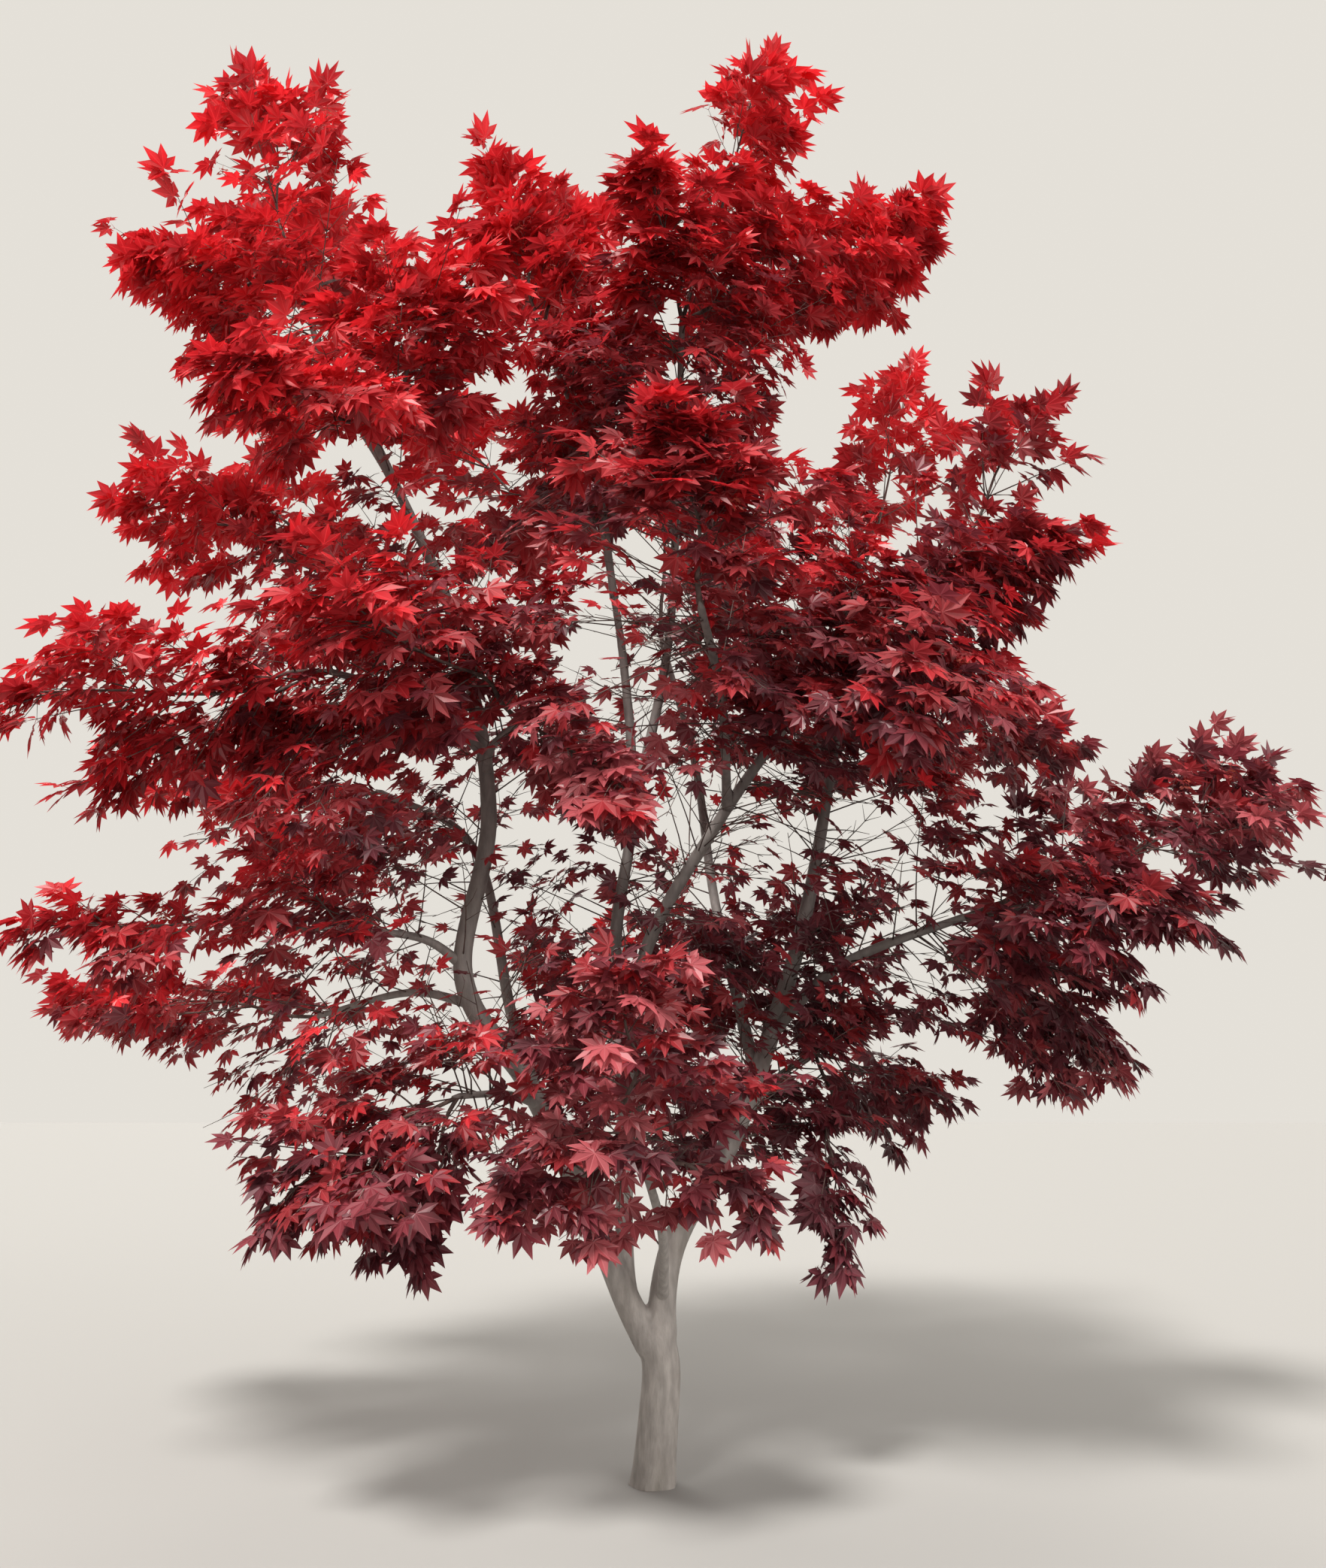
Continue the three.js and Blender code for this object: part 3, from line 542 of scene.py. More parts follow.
spots[:, 2] = np.maximum(spots[:, 2], 0)
melted.vertices.foreach_set("co", spots.astype(np.float32).ravel())
melted.shade_smooth()
melted.update()
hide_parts(*MELTED)
print("melted wood", len(melted.polygons), "faces, lowest", round(float(spots[:, 2].min()), 4))

# %% [markdown]
# The other limbs are thin, and where one leaves its parent there is a collar, not a soft crotch. So they
# stay tubes: the collar dips into the parent's bark and hides the joint, at a fraction of the triangles.

# %% The thinner limbs
THIN = [name for name in limbs if name not in MELTED]
boughs = add_piece("boughs", *join([limb_tube(name, THIN_SIDES) for name in THIN]), BARK, smooth=True)
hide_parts(*THIN)

# %% [markdown]
# Each mass of foliage keeps to a space of its own: an ellipsoid from the tip of its limb to its far end,
# as wide and as deep as its row says. A twig is as long as the space lets it be, so the question asked
# again and again is how far the ellipsoid reaches from a point in a direction. That is the far root of a
# quadratic, and it is answered here for thousands of twigs at once.

# %% The spaces of the masses
SPACE_SPREAD = np.array([1.0, 1.06, 1.1])
MASS_ROOT = np.array([limbs[row[1]]["curve"][-1] for row in MASS_ROWS])
MASS_END = np.array([row[2] for row in MASS_ROWS])
MASS_CENTRE = (MASS_ROOT + MASS_END) / 2
MASS_LENGTH = np.linalg.norm(MASS_END - MASS_ROOT, axis=1)
MASS_ALONG = unit(MASS_END - MASS_ROOT)
MASS_ACROSS = unit(np.cross(MASS_ALONG, UP))
MASS_AXES = np.stack([MASS_ALONG, MASS_ACROSS, np.cross(MASS_ACROSS, MASS_ALONG)], axis=1)
MASS_HALVES = np.stack([MASS_LENGTH, *np.array([row[3:5] for row in MASS_ROWS]).T], axis=1) / 2 * SPACE_SPREAD
space = (4 / 3 * math.pi * MASS_HALVES.prod(axis=1)).sum()
print("space of all masses", round(float(space), 2), "cubic metres")


# %% How far a space reaches
def in_space(mass, vectors):
    """Each vector's parts along the three axes of its mass's space, over the half lengths there."""
    return np.einsum("nij,nj->ni", MASS_AXES[mass], vectors) / MASS_HALVES[mass]


def reach_of(mass, start, direction):
    """The far root t of |start - centre + t direction| = 1, measured in the space, or 0 where there is
    none."""
    offset, step = in_space(mass, start - MASS_CENTRE[mass]), in_space(mass, direction)
    a, b, c = (step**2).sum(1), (step * offset).sum(1), (offset**2).sum(1) - 1
    return np.maximum((-b + np.sqrt(np.maximum(b * b - a * c, 0))) / a, 0)


def edge_of(mass, points):
    """How far out in its space each point lies: 0 at the middle of the ellipsoid, 1 at its surface."""
    return np.linalg.norm(in_space(mass, points - MASS_CENTRE[mass]), axis=1)


reaches = reach_of(np.arange(len(MASS_ROWS)), MASS_ROOT, MASS_ALONG)
print("masses reach", reaches.min().round(2), "to", reaches.max().round(2), "metres on from their limbs")

# %% [markdown]
# Light comes through this crown. Some masses are thick and others hang as a few thin sprays, so each
# mass has a share of its twigs that is left out. There are also openings, through which the bare stems
# show. An opening is a round of air that runs along the line of sight from the camera's spot through its
# middle, which is how it was found. Its row gives the middle on the tree's front plane, the half width
# and half height, and the share of what would grow there that is left out.

# %% The thin masses
LOOSE_SHARE = 0.04
LOOSE = {
    "left_peak": 0.35, "left_shoulder": 0.25, "left_top_back": 0.45, "high_left": 0.3, "high_mid": 0.35,
    "peak": 0.25, "leader_left": 0.2, "right_plume": 0.76, "right_mid": 0.15, "right_behind": 0.5,
    "right_skirt": 0.35, "right_tassel": 0.5, "right_inner": 0.4, "front_centre": 0.35, "front_left": 0.5,
    "front_right": 0.5, "mid_cluster": 0.25, "mid_left_front": 0.3, "left_reach": 0.1, "left_under": 0.15,
    "left_upper_reach": 0.42, "left_rise": 0.4, "left_back_low": 0.12, "left_tier_pad": 0.12,
    "left_low_pad": 0.14, "low_tassel": 0.4, "back_skirt": 0.3,
}
mass_loose = np.array([LOOSE.get(row[0], LOOSE_SHARE) for row in MASS_ROWS])
print("loose masses", len(LOOSE), "of", len(MASS_ROWS))

# %% The openings
OPENINGS = [
    (-0.02, 0.48, 0.055, 0.14, 0.9),
    (0.33, 0.55, 0.05, 0.25, 0.85),
    (-0.31, 0.56, 0.12, 0.1, 0.6),
    (-0.6, 1.34, 0.15, 0.24, 0.65),
    (-0.41, 1.5, 0.08, 0.26, 0.6),
    (-0.15, 1.42, 0.2, 0.16, 0.6),
    (0.05, 1.5, 0.13, 0.2, 0.75),
    (0.25, 1.66, 0.22, 0.18, 0.85),
    (0.56, 1.62, 0.17, 0.14, 0.9),
    (0.74, 1.26, 0.16, 0.07, 0.7),
    (-0.46, 0.735, 0.07, 0.09, 0.7),
    (0.06, 1.66, 0.09, 0.14, 0.8),
    (-0.06, 2.2, 0.18, 0.32, 0.78),
    (0.05, 1.86, 0.14, 0.18, 0.8),
    (-1.3, 2.8, 0.16, 0.12, 0.7),
    (-1.45, 1.62, 0.35, 0.1, 0.8),
    (-1.05, 1.27, 0.22, 0.05, 0.3),
    (-0.52, 2.65, 0.16, 0.12, 0.7),
    (-0.85, 2.72, 0.16, 0.12, 0.5),
    (-0.42, 1.91, 0.09, 0.12, 0.55),
    (-0.52, 1.7, 0.12, 0.14, 0.5),
    (-0.46, 1.18, 0.1, 0.1, 0.8),
    (0.68, 1.4, 0.2, 0.1, 0.6),
    (-0.74, 2.6, 0.06, 0.06, 0.75),
    (-0.66, 2.43, 0.06, 0.06, 0.75),
    (-0.58, 2.25, 0.06, 0.07, 0.5),
    (-1.24, 3.67, 0.16, 0.08, 0.5),
    (-0.93, 3.6, 0.1, 0.15, 0.35),
    (-1.24, 0.81, 0.17, 0.19, 0.96),
]
OPENING_RIM, OPENING_FADE = 1.2, 0.35
SIGHT_NEAREST = 0.1


def left_out(points):
    """For each point, the largest share of any opening that it lies in. The point is carried along its line
    of sight to the opening's distance; its offsets there, over the halves, are squared and summed; and the
    share fades out towards the root of that sum that is the opening's rim."""
    eye = np.array(CAMERA_SPOT)
    ray = points - eye
    most = np.zeros(len(points))
    for x, z, half_width, half_height, share in OPENINGS:
        middle = np.array([x, 0, z]) - eye
        sight = unit(middle)
        right = unit(np.cross(sight, UP))
        over = np.cross(right, sight)
        carried = ray * (np.linalg.norm(middle) / np.maximum(ray @ sight, SIGHT_NEAREST))[:, None]
        offset = carried - middle
        out = np.sqrt((offset @ right / half_width) ** 2 + (offset @ over / half_height) ** 2)
        most = np.maximum(most, share * np.clip((OPENING_RIM - out) / OPENING_FADE, 0, 1))
    return most


print("openings", len(OPENINGS), "most left out at a mass's middle", left_out(MASS_CENTRE).max().round(2))

# %% [markdown]
# The wood inside a mass comes in three orders. A stem grows on from the limb's tip and sways a little.
# Opposite twigs leave it in pairs, each pair turned a quarter from the one before. Opposite shoots leave
# the twigs, and these lie flat, side by side, which is what lays this tree's foliage in tiers. The stems
# come first. Each one passes the same swaying points as its solid, so that both lie in one place.

# %% Stems that grow on from the limbs
STEM_SINK, STEM_LEAVE, LIMB_END = 0.02, 0.12, 8
STEM_SWAY, STEM_SWAY_AT, STEM_PART = 0.05, (0.4, 0.7), 0.6
STEM_LIFT_AT, STEM_LIFT = 0.8, 0.01
STEM_END, STEM_DROP = 0.93, 0.02


def swing(seed, index):
    """Twice the fraction of sin(12.9898 seed + 78.233 index) times 43758.5453, less 1: from -1 to 1."""
    wave = math.sin(seed * 12.9898 + index * 78.233) * 43758.5453
    return 2 * (wave - math.floor(wave)) - 1


def stem_of(mass):
    """The curve of a mass's stem: from inside its limb's tip, through two points that sway aside and up or
    down by a share of its length, then on to near its end, where it drops a little."""
    curve, root, length = limbs[MASS_ROWS[mass][1]]["curve"], MASS_ROOT[mass], MASS_LENGTH[mass]
    along, across, over = MASS_AXES[mass]
    sways = []
    for step, share in enumerate(STEM_SWAY_AT):
        aside = swing(mass + 1, 2 * step + 1) * STEM_SWAY * length
        above = swing(mass + 1, 2 * step + 2) * STEM_SWAY * length
        sways.append(root + share * STEM_PART * length * along + aside * across + above * over)
    return curve_through([
        root - STEM_SINK * unit(curve[-1] - curve[-LIMB_END]), root + STEM_LEAVE * length * along, *sways,
        root + STEM_PART * length * along, root + STEM_LIFT_AT * length * along + STEM_LIFT * over,
        root + STEM_END * length * along - STEM_DROP * UP])


STEM_FOOT_SHARE, STEM_FOOT_MOST, STEM_TIP = 0.8, 0.0085, 0.0017
STEM_TAPER = 1.2
STEM_RINGS, STEM_SIDES = 18, 7

stems = [stem_of(mass) for mass in range(len(MASS_ROWS))]
wood_parts = []
for row, stem in zip(MASS_ROWS, stems):
    foot = min(limbs[row[1]]["tip"] * STEM_FOOT_SHARE, STEM_FOOT_MOST)
    share = np.linspace(0, 1, STEM_RINGS)
    radii = STEM_TIP + (foot - STEM_TIP) * (1 - share) ** STEM_TAPER
    wood_parts.append(tube(on_curve(stem, share), radii[:, None], STEM_SIDES))
print("stems", len(stems))

# %% [markdown]
# Thousands of small twigs can't each be a loop of their own. A batch holds them as arrays with one row
# for each twig: its root, its direction, its length, and a bend, because a twig sags or turns in a little.
# One function turns a batch into tubes, and others find points along it. Chance comes from one seeded
# generator, so each run grows the same tree.

# %% Batches of twigs
CHANCE_SEED = 11
chances = np.random.default_rng(CHANCE_SEED)
print("chance starts from the number", CHANCE_SEED)


def jitter(count, spread):
    """Evenly spread chance numbers from -spread to spread."""
    return chances.uniform(-spread, spread, count)


def batch_of(root, direction, length, mass, bend, thick, thin):
    """A batch from one row for each twig; a single number holds for every twig of the batch."""
    rows = {"length": length, "mass": mass, "thick": thick, "thin": thin}
    rows = {key: np.broadcast_to(value, len(root)) for key, value in rows.items()}
    return {"root": root, "direction": direction, "bend": bend, **rows}


def rows_of(batch, index):
    """The rows of a batch at some indices."""
    return {key: value[index] for key, value in batch.items()}


def stacked(batches):
    """Several batches as one."""
    return {key: np.concatenate([batch[key] for batch in batches]) for key in batches[0]}


def tell(name, batch):
    """Print how many twigs a batch has, and how long they are."""
    print(name, len(batch["length"]), "mean length", round(float(batch["length"].mean()), 3))


# %% Places, headings and forks along twigs
LEVEL_LEAST = 0.25


def twig_points(batch, share):
    """root + t length direction + t squared length bend, for each twig at its share t."""
    t = np.broadcast_to(share, len(batch["length"]))[:, None]
    length = batch["length"][:, None]
    return batch["root"] + t * length * batch["direction"] + t**2 * length * batch["bend"]


def twig_heading(batch, share):
    """The slope of that curve, direction + 2 t bend, as a unit vector."""
    t = np.broadcast_to(share, len(batch["length"]))[:, None]
    return unit(batch["direction"] + 2 * t * batch["bend"])


def flat_side(heading):
    """The level direction square to a heading; for an upright one, +X."""
    side = np.cross(heading, UP)
    return unit(np.where(np.linalg.norm(side, axis=1, keepdims=True) < LEVEL_LEAST, RIGHT, side))


def forked(fork, hand, heading, side):
    """cos fork heading + hand sin fork side, as a unit vector: a fork of that angle to that hand."""
    return unit(np.cos(fork)[:, None] * heading + (hand * np.sin(fork))[:, None] * side)


# %% Batches into tubes
UPRIGHT = 0.8


def twig_tubes(batch, rings, sides):
    """Tubes with rings square to each twig's heading and radii that go evenly from root to tip."""
    share = np.linspace(0, 1, rings)
    centres = np.stack([twig_points(batch, t) for t in share], axis=1)
    heading = np.stack([twig_heading(batch, t) for t in share], axis=1)
    side = unit(np.cross(heading, np.where(abs(heading[..., 2:]) < UPRIGHT, UP, RIGHT)))
    over = np.cross(heading, side)
    turn = np.linspace(0, 2 * np.pi, sides, endpoint=False)[:, None]
    radius = batch["thick"][:, None] * (1 - share) + batch["thin"][:, None] * share
    out = np.cos(turn) * side[:, :, None] + np.sin(turn) * over[:, :, None]
    points = centres[:, :, None] + radius[:, :, None, None] * out
    return points.reshape(-1, 3), copies(grid_faces(rings, sides), rings * sides, len(radius))


# %% [markdown]
# Opposite pairs are what tells a maple from most other trees, in its twigs as in its leaves. The pairs sit
# at nodes along the stem, and each pair stands a quarter turn from the last. Near the stem's end the twigs
# lean forward more. Each one fills its space but for the room that its last leaves need, and a share of
# them is left out where the mass is thin or an opening passes.

# %% Twigs in opposite pairs along the stems
NODE_SHARES, NODE_JITTER, NODE_FIRST, NODE_LAST = np.linspace(0.1, 0.95, 13), 0.03, 0.08, 0.99
FORK, FORK_TIP, FORK_JITTER = math.radians(62), math.radians(38), math.radians(13)
PAIR_TURN, PAIR_JITTER = math.pi / 2, 0.45
LEAF_ROOM = 0.07
TWIG_FILL_LEAST, TWIG_FILL_MOST, TWIG_LEAST = 0.5, 1.06, 0.03
TWIG_SAG, TWIG_TURN_IN, TWIG_STRAY = 0.07, 0.12, 0.04
TWIG_THICK, TWIG_TAPER, TWIG_THIN = 0.0026, 0.0011, 0.0009
THINNED_AT, LOOSE_TWIGS, OPEN_TWIGS = 0.8, 0.6, 0.7


def twigs_on(mass, stem):
    """Pairs of twigs at the nodes of a stem. A twig's direction is a fork from the stem's own, to one hand
    or the other of a line that turns by a quarter from pair to pair; it bends towards the stem and down."""
    pairs = len(NODE_SHARES)
    _, across, over = MASS_AXES[mass]
    share = np.repeat(np.clip(NODE_SHARES + jitter(pairs, NODE_JITTER), NODE_FIRST, NODE_LAST), 2)
    turn = np.repeat((np.arange(pairs) % 2) * PAIR_TURN + jitter(pairs, PAIR_JITTER), 2)
    fork = FORK + (FORK_TIP - FORK) * share + jitter(2 * pairs, FORK_JITTER)
    out = np.cos(turn)[:, None] * across + np.sin(turn)[:, None] * over
    forward = slope_of(stem, share)
    direction = forked(fork, np.tile([-1.0, 1.0], pairs), forward, out)
    root = on_curve(stem, share)
    fill = chances.uniform(TWIG_FILL_LEAST, TWIG_FILL_MOST, 2 * pairs)
    room = reach_of(np.full(2 * pairs, mass), root, direction) * fill - LEAF_ROOM
    stray = chances.normal(0, TWIG_STRAY, (2 * pairs, 3))
    return batch_of(root, direction, np.maximum(room, TWIG_LEAST), mass,
                    TWIG_TURN_IN * forward - TWIG_SAG * UP + stray,
                    TWIG_THICK - TWIG_TAPER * share, TWIG_THIN)


twigs = stacked([twigs_on(mass, stem) for mass, stem in enumerate(stems)])
open_here = OPEN_TWIGS * left_out(twig_points(twigs, THINNED_AT))
thinned = 1 - (1 - LOOSE_TWIGS * mass_loose[twigs["mass"]]) * (1 - open_here)
twigs = rows_of(twigs, np.flatnonzero(chances.random(len(thinned)) > thinned))
tell("twigs", twigs)

# %% [markdown]
# A crown that keeps to ellipsoids would look clipped. A few runners from the outer half of each stem go
# where they like and may pass the rim by some centimetres, and a short lead carries on each stem's own
# end. These make the ragged outline.

# %% Runners and leads
RUNNERS, RUNNERS_FROM, RUNNERS_TO = 4, 0.45, 0.97
RUNNER_STRAY, RUNNER_BEND, RUNNER_LEAST = 0.75, 0.07, 0.05
RUNNER_PAST = 0.09
RUNNER_THICK, RUNNER_THIN = 0.0022, 0.0008
LEAD_BACK, LEAD_LENGTH, LEAD_THICK = 24, 0.07, 0.0015


def runners_on(mass, stem):
    """Twigs from chance places on the outer part of a stem, along it but for a chance vector."""
    share = chances.uniform(RUNNERS_FROM, RUNNERS_TO, RUNNERS)
    direction = unit(slope_of(stem, share) + RUNNER_STRAY * unit(chances.normal(size=(RUNNERS, 3))))
    root = on_curve(stem, share)
    past = chances.uniform(0, RUNNER_PAST, RUNNERS) - LEAF_ROOM
    length = np.maximum(reach_of(np.full(RUNNERS, mass), root, direction) + past, RUNNER_LEAST)
    return batch_of(root, direction, length, mass, chances.normal(0, RUNNER_BEND, (RUNNERS, 3)),
                    RUNNER_THICK, RUNNER_THIN)


runners = stacked([runners_on(mass, stem) for mass, stem in enumerate(stems)])
lead_roots = np.array([stem[-LEAD_BACK] for stem in stems])
lead_ends = np.array([stem[-1] for stem in stems])
leads = batch_of(lead_roots, unit(lead_ends - lead_roots), LEAD_LENGTH, np.arange(len(stems)),
                 np.zeros((len(stems), 3)), LEAD_THICK, TWIG_THIN)
tell("runners", runners)
tell("leads", leads)

# %% [markdown]
# Shoots are this year's growth, and they carry most of the leaves. They leave each twig in pairs that lie
# flat, one to each side, and the pairs further back are longer, so that a twig with its shoots is a flat
# spray, wide at its foot and pointed at its tip. They are placed back from the tip in even steps.

# %% Shoots in flat opposite pairs along the twigs
SHOOT_STEP, SHOOT_MOST, SHOOT_START, SHOOT_FROM, SHOOT_JITTER = 0.058, 9, 0.5, 0.16, 0.01
SHOOT_FORK, SHOOT_FORK_JITTER, SHOOT_ROLL = math.radians(52), 0.25, 0.5
SHOOT_LONGEST, SHOOT_LEAST = 0.18, 0.012
SHOOT_FIRST_SHARE, SHOOT_MORE_SHARE = 0.28, 0.2
SHOOT_SHARE_LEAST, SHOOT_SHARE_MOST = 0.7, 1.1
SHOOT_FILL, SHOOT_ROOM_LEAST = 1.02, -0.035
SHOOT_SAG, SHOOT_TURN_IN, SHOOT_STRAY = 0.1, 0.1, 0.05
SHOOT_THICK_SHARE, SHOOT_THIN = 0.65, 0.0006
RIM_LOOSE, RIM_FROM, RIM_WIDTH = 0.6, 0.55, 0.4


def shoots_on(batch):
    """Pairs of shoots at even steps back from each twig's tip; those nearer to its foot are longer, all
    keep to their space, and the shares of the mass, of the openings and of the rim are left out."""
    made = []
    for order in range(SHOOT_MOST):
        share = 1 - (order + SHOOT_START) * SHOOT_STEP / batch["length"]
        kept = np.flatnonzero(share > SHOOT_FROM)
        if not len(kept):
            break
        twig, count = rows_of(batch, kept), len(kept)
        longest = SHOOT_LONGEST * np.clip(SHOOT_FIRST_SHARE + SHOOT_MORE_SHARE * order, 0, 1)
        for hand in (-1.0, 1.0):
            at = share[kept] + jitter(count, SHOOT_JITTER) / twig["length"]
            heading = twig_heading(twig, at)
            roll = jitter(count, SHOOT_ROLL)[:, None]
            side = flat_side(heading)
            side = unit(np.cos(roll) * side + np.sin(roll) * np.cross(side, heading))
            direction = forked(SHOOT_FORK + jitter(count, SHOOT_FORK_JITTER), hand, heading, side)
            root = twig_points(twig, at)
            want = longest * chances.uniform(SHOOT_SHARE_LEAST, SHOOT_SHARE_MOST, count)
            room = reach_of(twig["mass"], root, direction) * SHOOT_FILL - LEAF_ROOM
            length = np.maximum(np.minimum(want, room), 0)
            bend = -SHOOT_SAG * UP + SHOOT_TURN_IN * heading + chances.normal(0, SHOOT_STRAY, (count, 3))
            thick = SHOOT_THICK_SHARE * (twig["thick"] + (twig["thin"] - twig["thick"]) * at)
            tip = root + length[:, None] * direction
            length = np.maximum(length, SHOOT_LEAST)
            here = batch_of(root, direction, length, twig["mass"], bend, thick, SHOOT_THIN)
            rim = RIM_LOOSE * np.clip((edge_of(twig["mass"], tip) - RIM_FROM) / RIM_WIDTH, 0, 1)
            thin_here = 1 - (1 - mass_loose[twig["mass"]]) * (1 - left_out(tip)) * (1 - rim)
            made.append(rows_of(here, (room > SHOOT_ROOM_LEAST) & (chances.random(count) > thin_here)))
    return stacked(made)


shoots = shoots_on(twigs)
tell("shoots", shoots)

# %% [markdown]
# The inside of the crown isn't empty: grey twigs stand out from the bare limbs, some with a thin spray of
# leaves on them. They are grown as the twigs of the masses are, but from chance places along the limbs,
# and they stay short. A few limbs carry more of them than their length alone would give. Low down and in
# the clear openings there are none, and in the other openings more of their shoots are bare.

# %% Inner twigs on the limbs
INNER_TWIGS, INNER_FROM, INNER_TO = 840, 0.26, 0.96
INNER_SHORTEST, INNER_LONGEST = 0.1, 0.48
INNER_FORK, INNER_FORK_JITTER = math.radians(60), 0.3
INNER_SAG, INNER_STRAY = 0.05, 0.08
INNER_MIDDLE = 0.2
INNER_MORE = {
    "right_stem": 2.2, "right_low": 1.9, "right_down": 2.1, "low_left": 3.4, "mid_left": 2.5,
    "left_tier": 2.6, "left_low": 1.8, "behind_left": 1.5, "inner_right": 2.9, "front_high": 2,
    "leader": 2.4, "centre_up": 1.6,
}
INNER_LOWEST, INNER_BARRED, INNER_OPEN = 0.72, 0.95, 0.4


def inner_twigs(count):
    """Twigs from chance places along the limbs above the trunk, at a fork to a chance side. Each is named
    to the mass whose middle is nearest, for its red."""
    names = [name for name in limbs if name != "trunk"]
    weights = np.array([length_of(limbs[name]["curve"]) * INNER_MORE.get(name, 1) for name in names])
    picks = chances.choice(len(names), count, p=weights / weights.sum())
    curves = [limbs[names[pick]]["curve"] for pick in picks]
    places = list(zip(curves, chances.uniform(INNER_FROM, INNER_TO, count)))
    root = np.array([on_curve(curve, at) for curve, at in places])
    heading = np.array([slope_of(curve, at) for curve, at in places])
    aside = unit(np.cross(heading, chances.normal(size=(count, 3))))
    direction = forked(INNER_FORK + jitter(count, INNER_FORK_JITTER), 1, heading, aside)
    length = chances.uniform(INNER_SHORTEST, INNER_LONGEST, count)
    middle = root + direction * INNER_MIDDLE
    owner = np.argmin(np.linalg.norm(MASS_CENTRE[None] - middle[:, None], axis=2), axis=1)
    bend = -INNER_SAG * UP + chances.normal(0, INNER_STRAY, (count, 3))
    return batch_of(root, direction, length, owner, bend, RUNNER_THICK, RUNNER_THIN)


inner = inner_twigs(INNER_TWIGS)
tips = inner["root"] + inner["direction"] * inner["length"][:, None]
dense = chances.random(INNER_TWIGS) > INNER_OPEN * left_out(inner["root"])
inner = rows_of(inner, np.flatnonzero(dense & (tips[:, 2] > INNER_LOWEST) & (left_out(tips) < INNER_BARRED)))
tell("inner twigs", inner)

# %% [markdown]
# The inner twigs fork once more. These shoots have no space to keep to, so they only need their twig: up
# to five pairs, back from its tip, lying flat as all shoots of this tree do.

# %% Shoots on the inner twigs
FREE_STEP, FREE_MOST, FREE_START, FREE_FROM = 0.055, 5, 0.3, 0.3
FREE_FORK, FREE_FORK_JITTER = math.radians(50), 0.3
FREE_LONGEST, FREE_SHARE_LEAST, FREE_STRAY, FREE_THICK = 0.1, 0.4, 0.08, 0.0013
BARE_SHOOTS_OUT = 0.6


def free_shoots(batch):
    """Shoots in pairs at even steps back from each twig's tip, each a fork of about the same angle."""
    made = []
    for order in range(FREE_MOST):
        share = 1 - (order + FREE_START) * FREE_STEP / batch["length"]
        kept = np.flatnonzero(share > FREE_FROM)
        twig, at, count = rows_of(batch, kept), share[kept], len(kept)
        root, heading = twig_points(twig, at), twig_heading(twig, at)
        for hand in (-1.0, 1.0):
            fork = FREE_FORK + jitter(count, FREE_FORK_JITTER)
            direction = forked(fork, hand, heading, flat_side(heading))
            length = FREE_LONGEST * chances.uniform(FREE_SHARE_LEAST, 1, count)
            bend = chances.normal(0, FREE_STRAY, (count, 3))
            made.append(batch_of(root, direction, length, twig["mass"], bend, FREE_THICK, SHOOT_THIN))
    return stacked(made)


inner_shoots = free_shoots(inner)
bare = chances.random(len(inner_shoots["length"])) < BARE_SHOOTS_OUT * left_out(inner_shoots["root"])
inner_shoots = rows_of(inner_shoots, np.flatnonzero(~bare))
tell("inner shoots", inner_shoots)

# %% [markdown]
# All this wood becomes two pieces. A thin twig is seen as little more than a line, so three or four sides
# are enough for it, and a few rings carry its bend. The wood of the masses takes the place of the solids
# of the foliage. The inner twigs are new: they have no solid, and take their finish from the bark.

# %% The wood of the crown
FOLIAGE = ["foliage_" + row[0] for row in MASS_ROWS]
RINGS_AND_SIDES = [(twigs, 6, 4), (leads, 3, 4), (runners, 6, 4), (shoots, 3, 3)]
for batch, rings, sides in RINGS_AND_SIDES:
    wood_parts.append(twig_tubes(batch, rings, sides))
twig_wood = add_piece("twigs", *join(wood_parts), TWIG_BARK, smooth=True)
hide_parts(*FOLIAGE)
inner_parts = [twig_tubes(inner, 5, 4), twig_tubes(inner_shoots, 3, 3)]
inner_wood = add_piece("inner_twigs", *join(inner_parts), TWIG_BARK, smooth=True)

# %% [markdown]
# The autumn red isn't one red, and part of how it changes is painted light and shade. High up and on the
# left, where most light reaches them, the sprays are scarlet, partly their own colour and partly painted
# light; lower and to the right they go through crimson to maroon, partly painted shade. They are also made
# lighter towards the outside of the crown and on the top of each mass, which is painted light, and darker
# inside and underneath, which is painted shade. Those at the front of the skirt have a dusty pink: a painted
# sheen of soft reflected light on their upper faces. A spray is one red all over, so the red is dealt out
# twig by twig, by where the twig is and a little by chance.

# %% The reds and how they are dealt
REDS = {
    "scarlet": (0.64, 0.019, 0.027),
    "red": (0.47, 0.019, 0.027),
    "crimson": (0.32, 0.026, 0.033),
    "wine": (0.2, 0.028, 0.04),
    "maroon": (0.125, 0.026, 0.036),
    # painted sheen: a dusty pink for soft reflected light on the leaves' upper faces
    "rose": (0.38, 0.072, 0.085),
}
RED_NAMES = list(REDS)
MAROON, SHEEN_ROSE = RED_NAMES.index("maroon"), RED_NAMES.index("rose")
RED_STEPS = np.array([0.6, 0.44, 0.29, 0.15])
DEALT_AT = 0.7
CROWN_MIDDLE = np.array([-0.05, 0.12, 2.0])
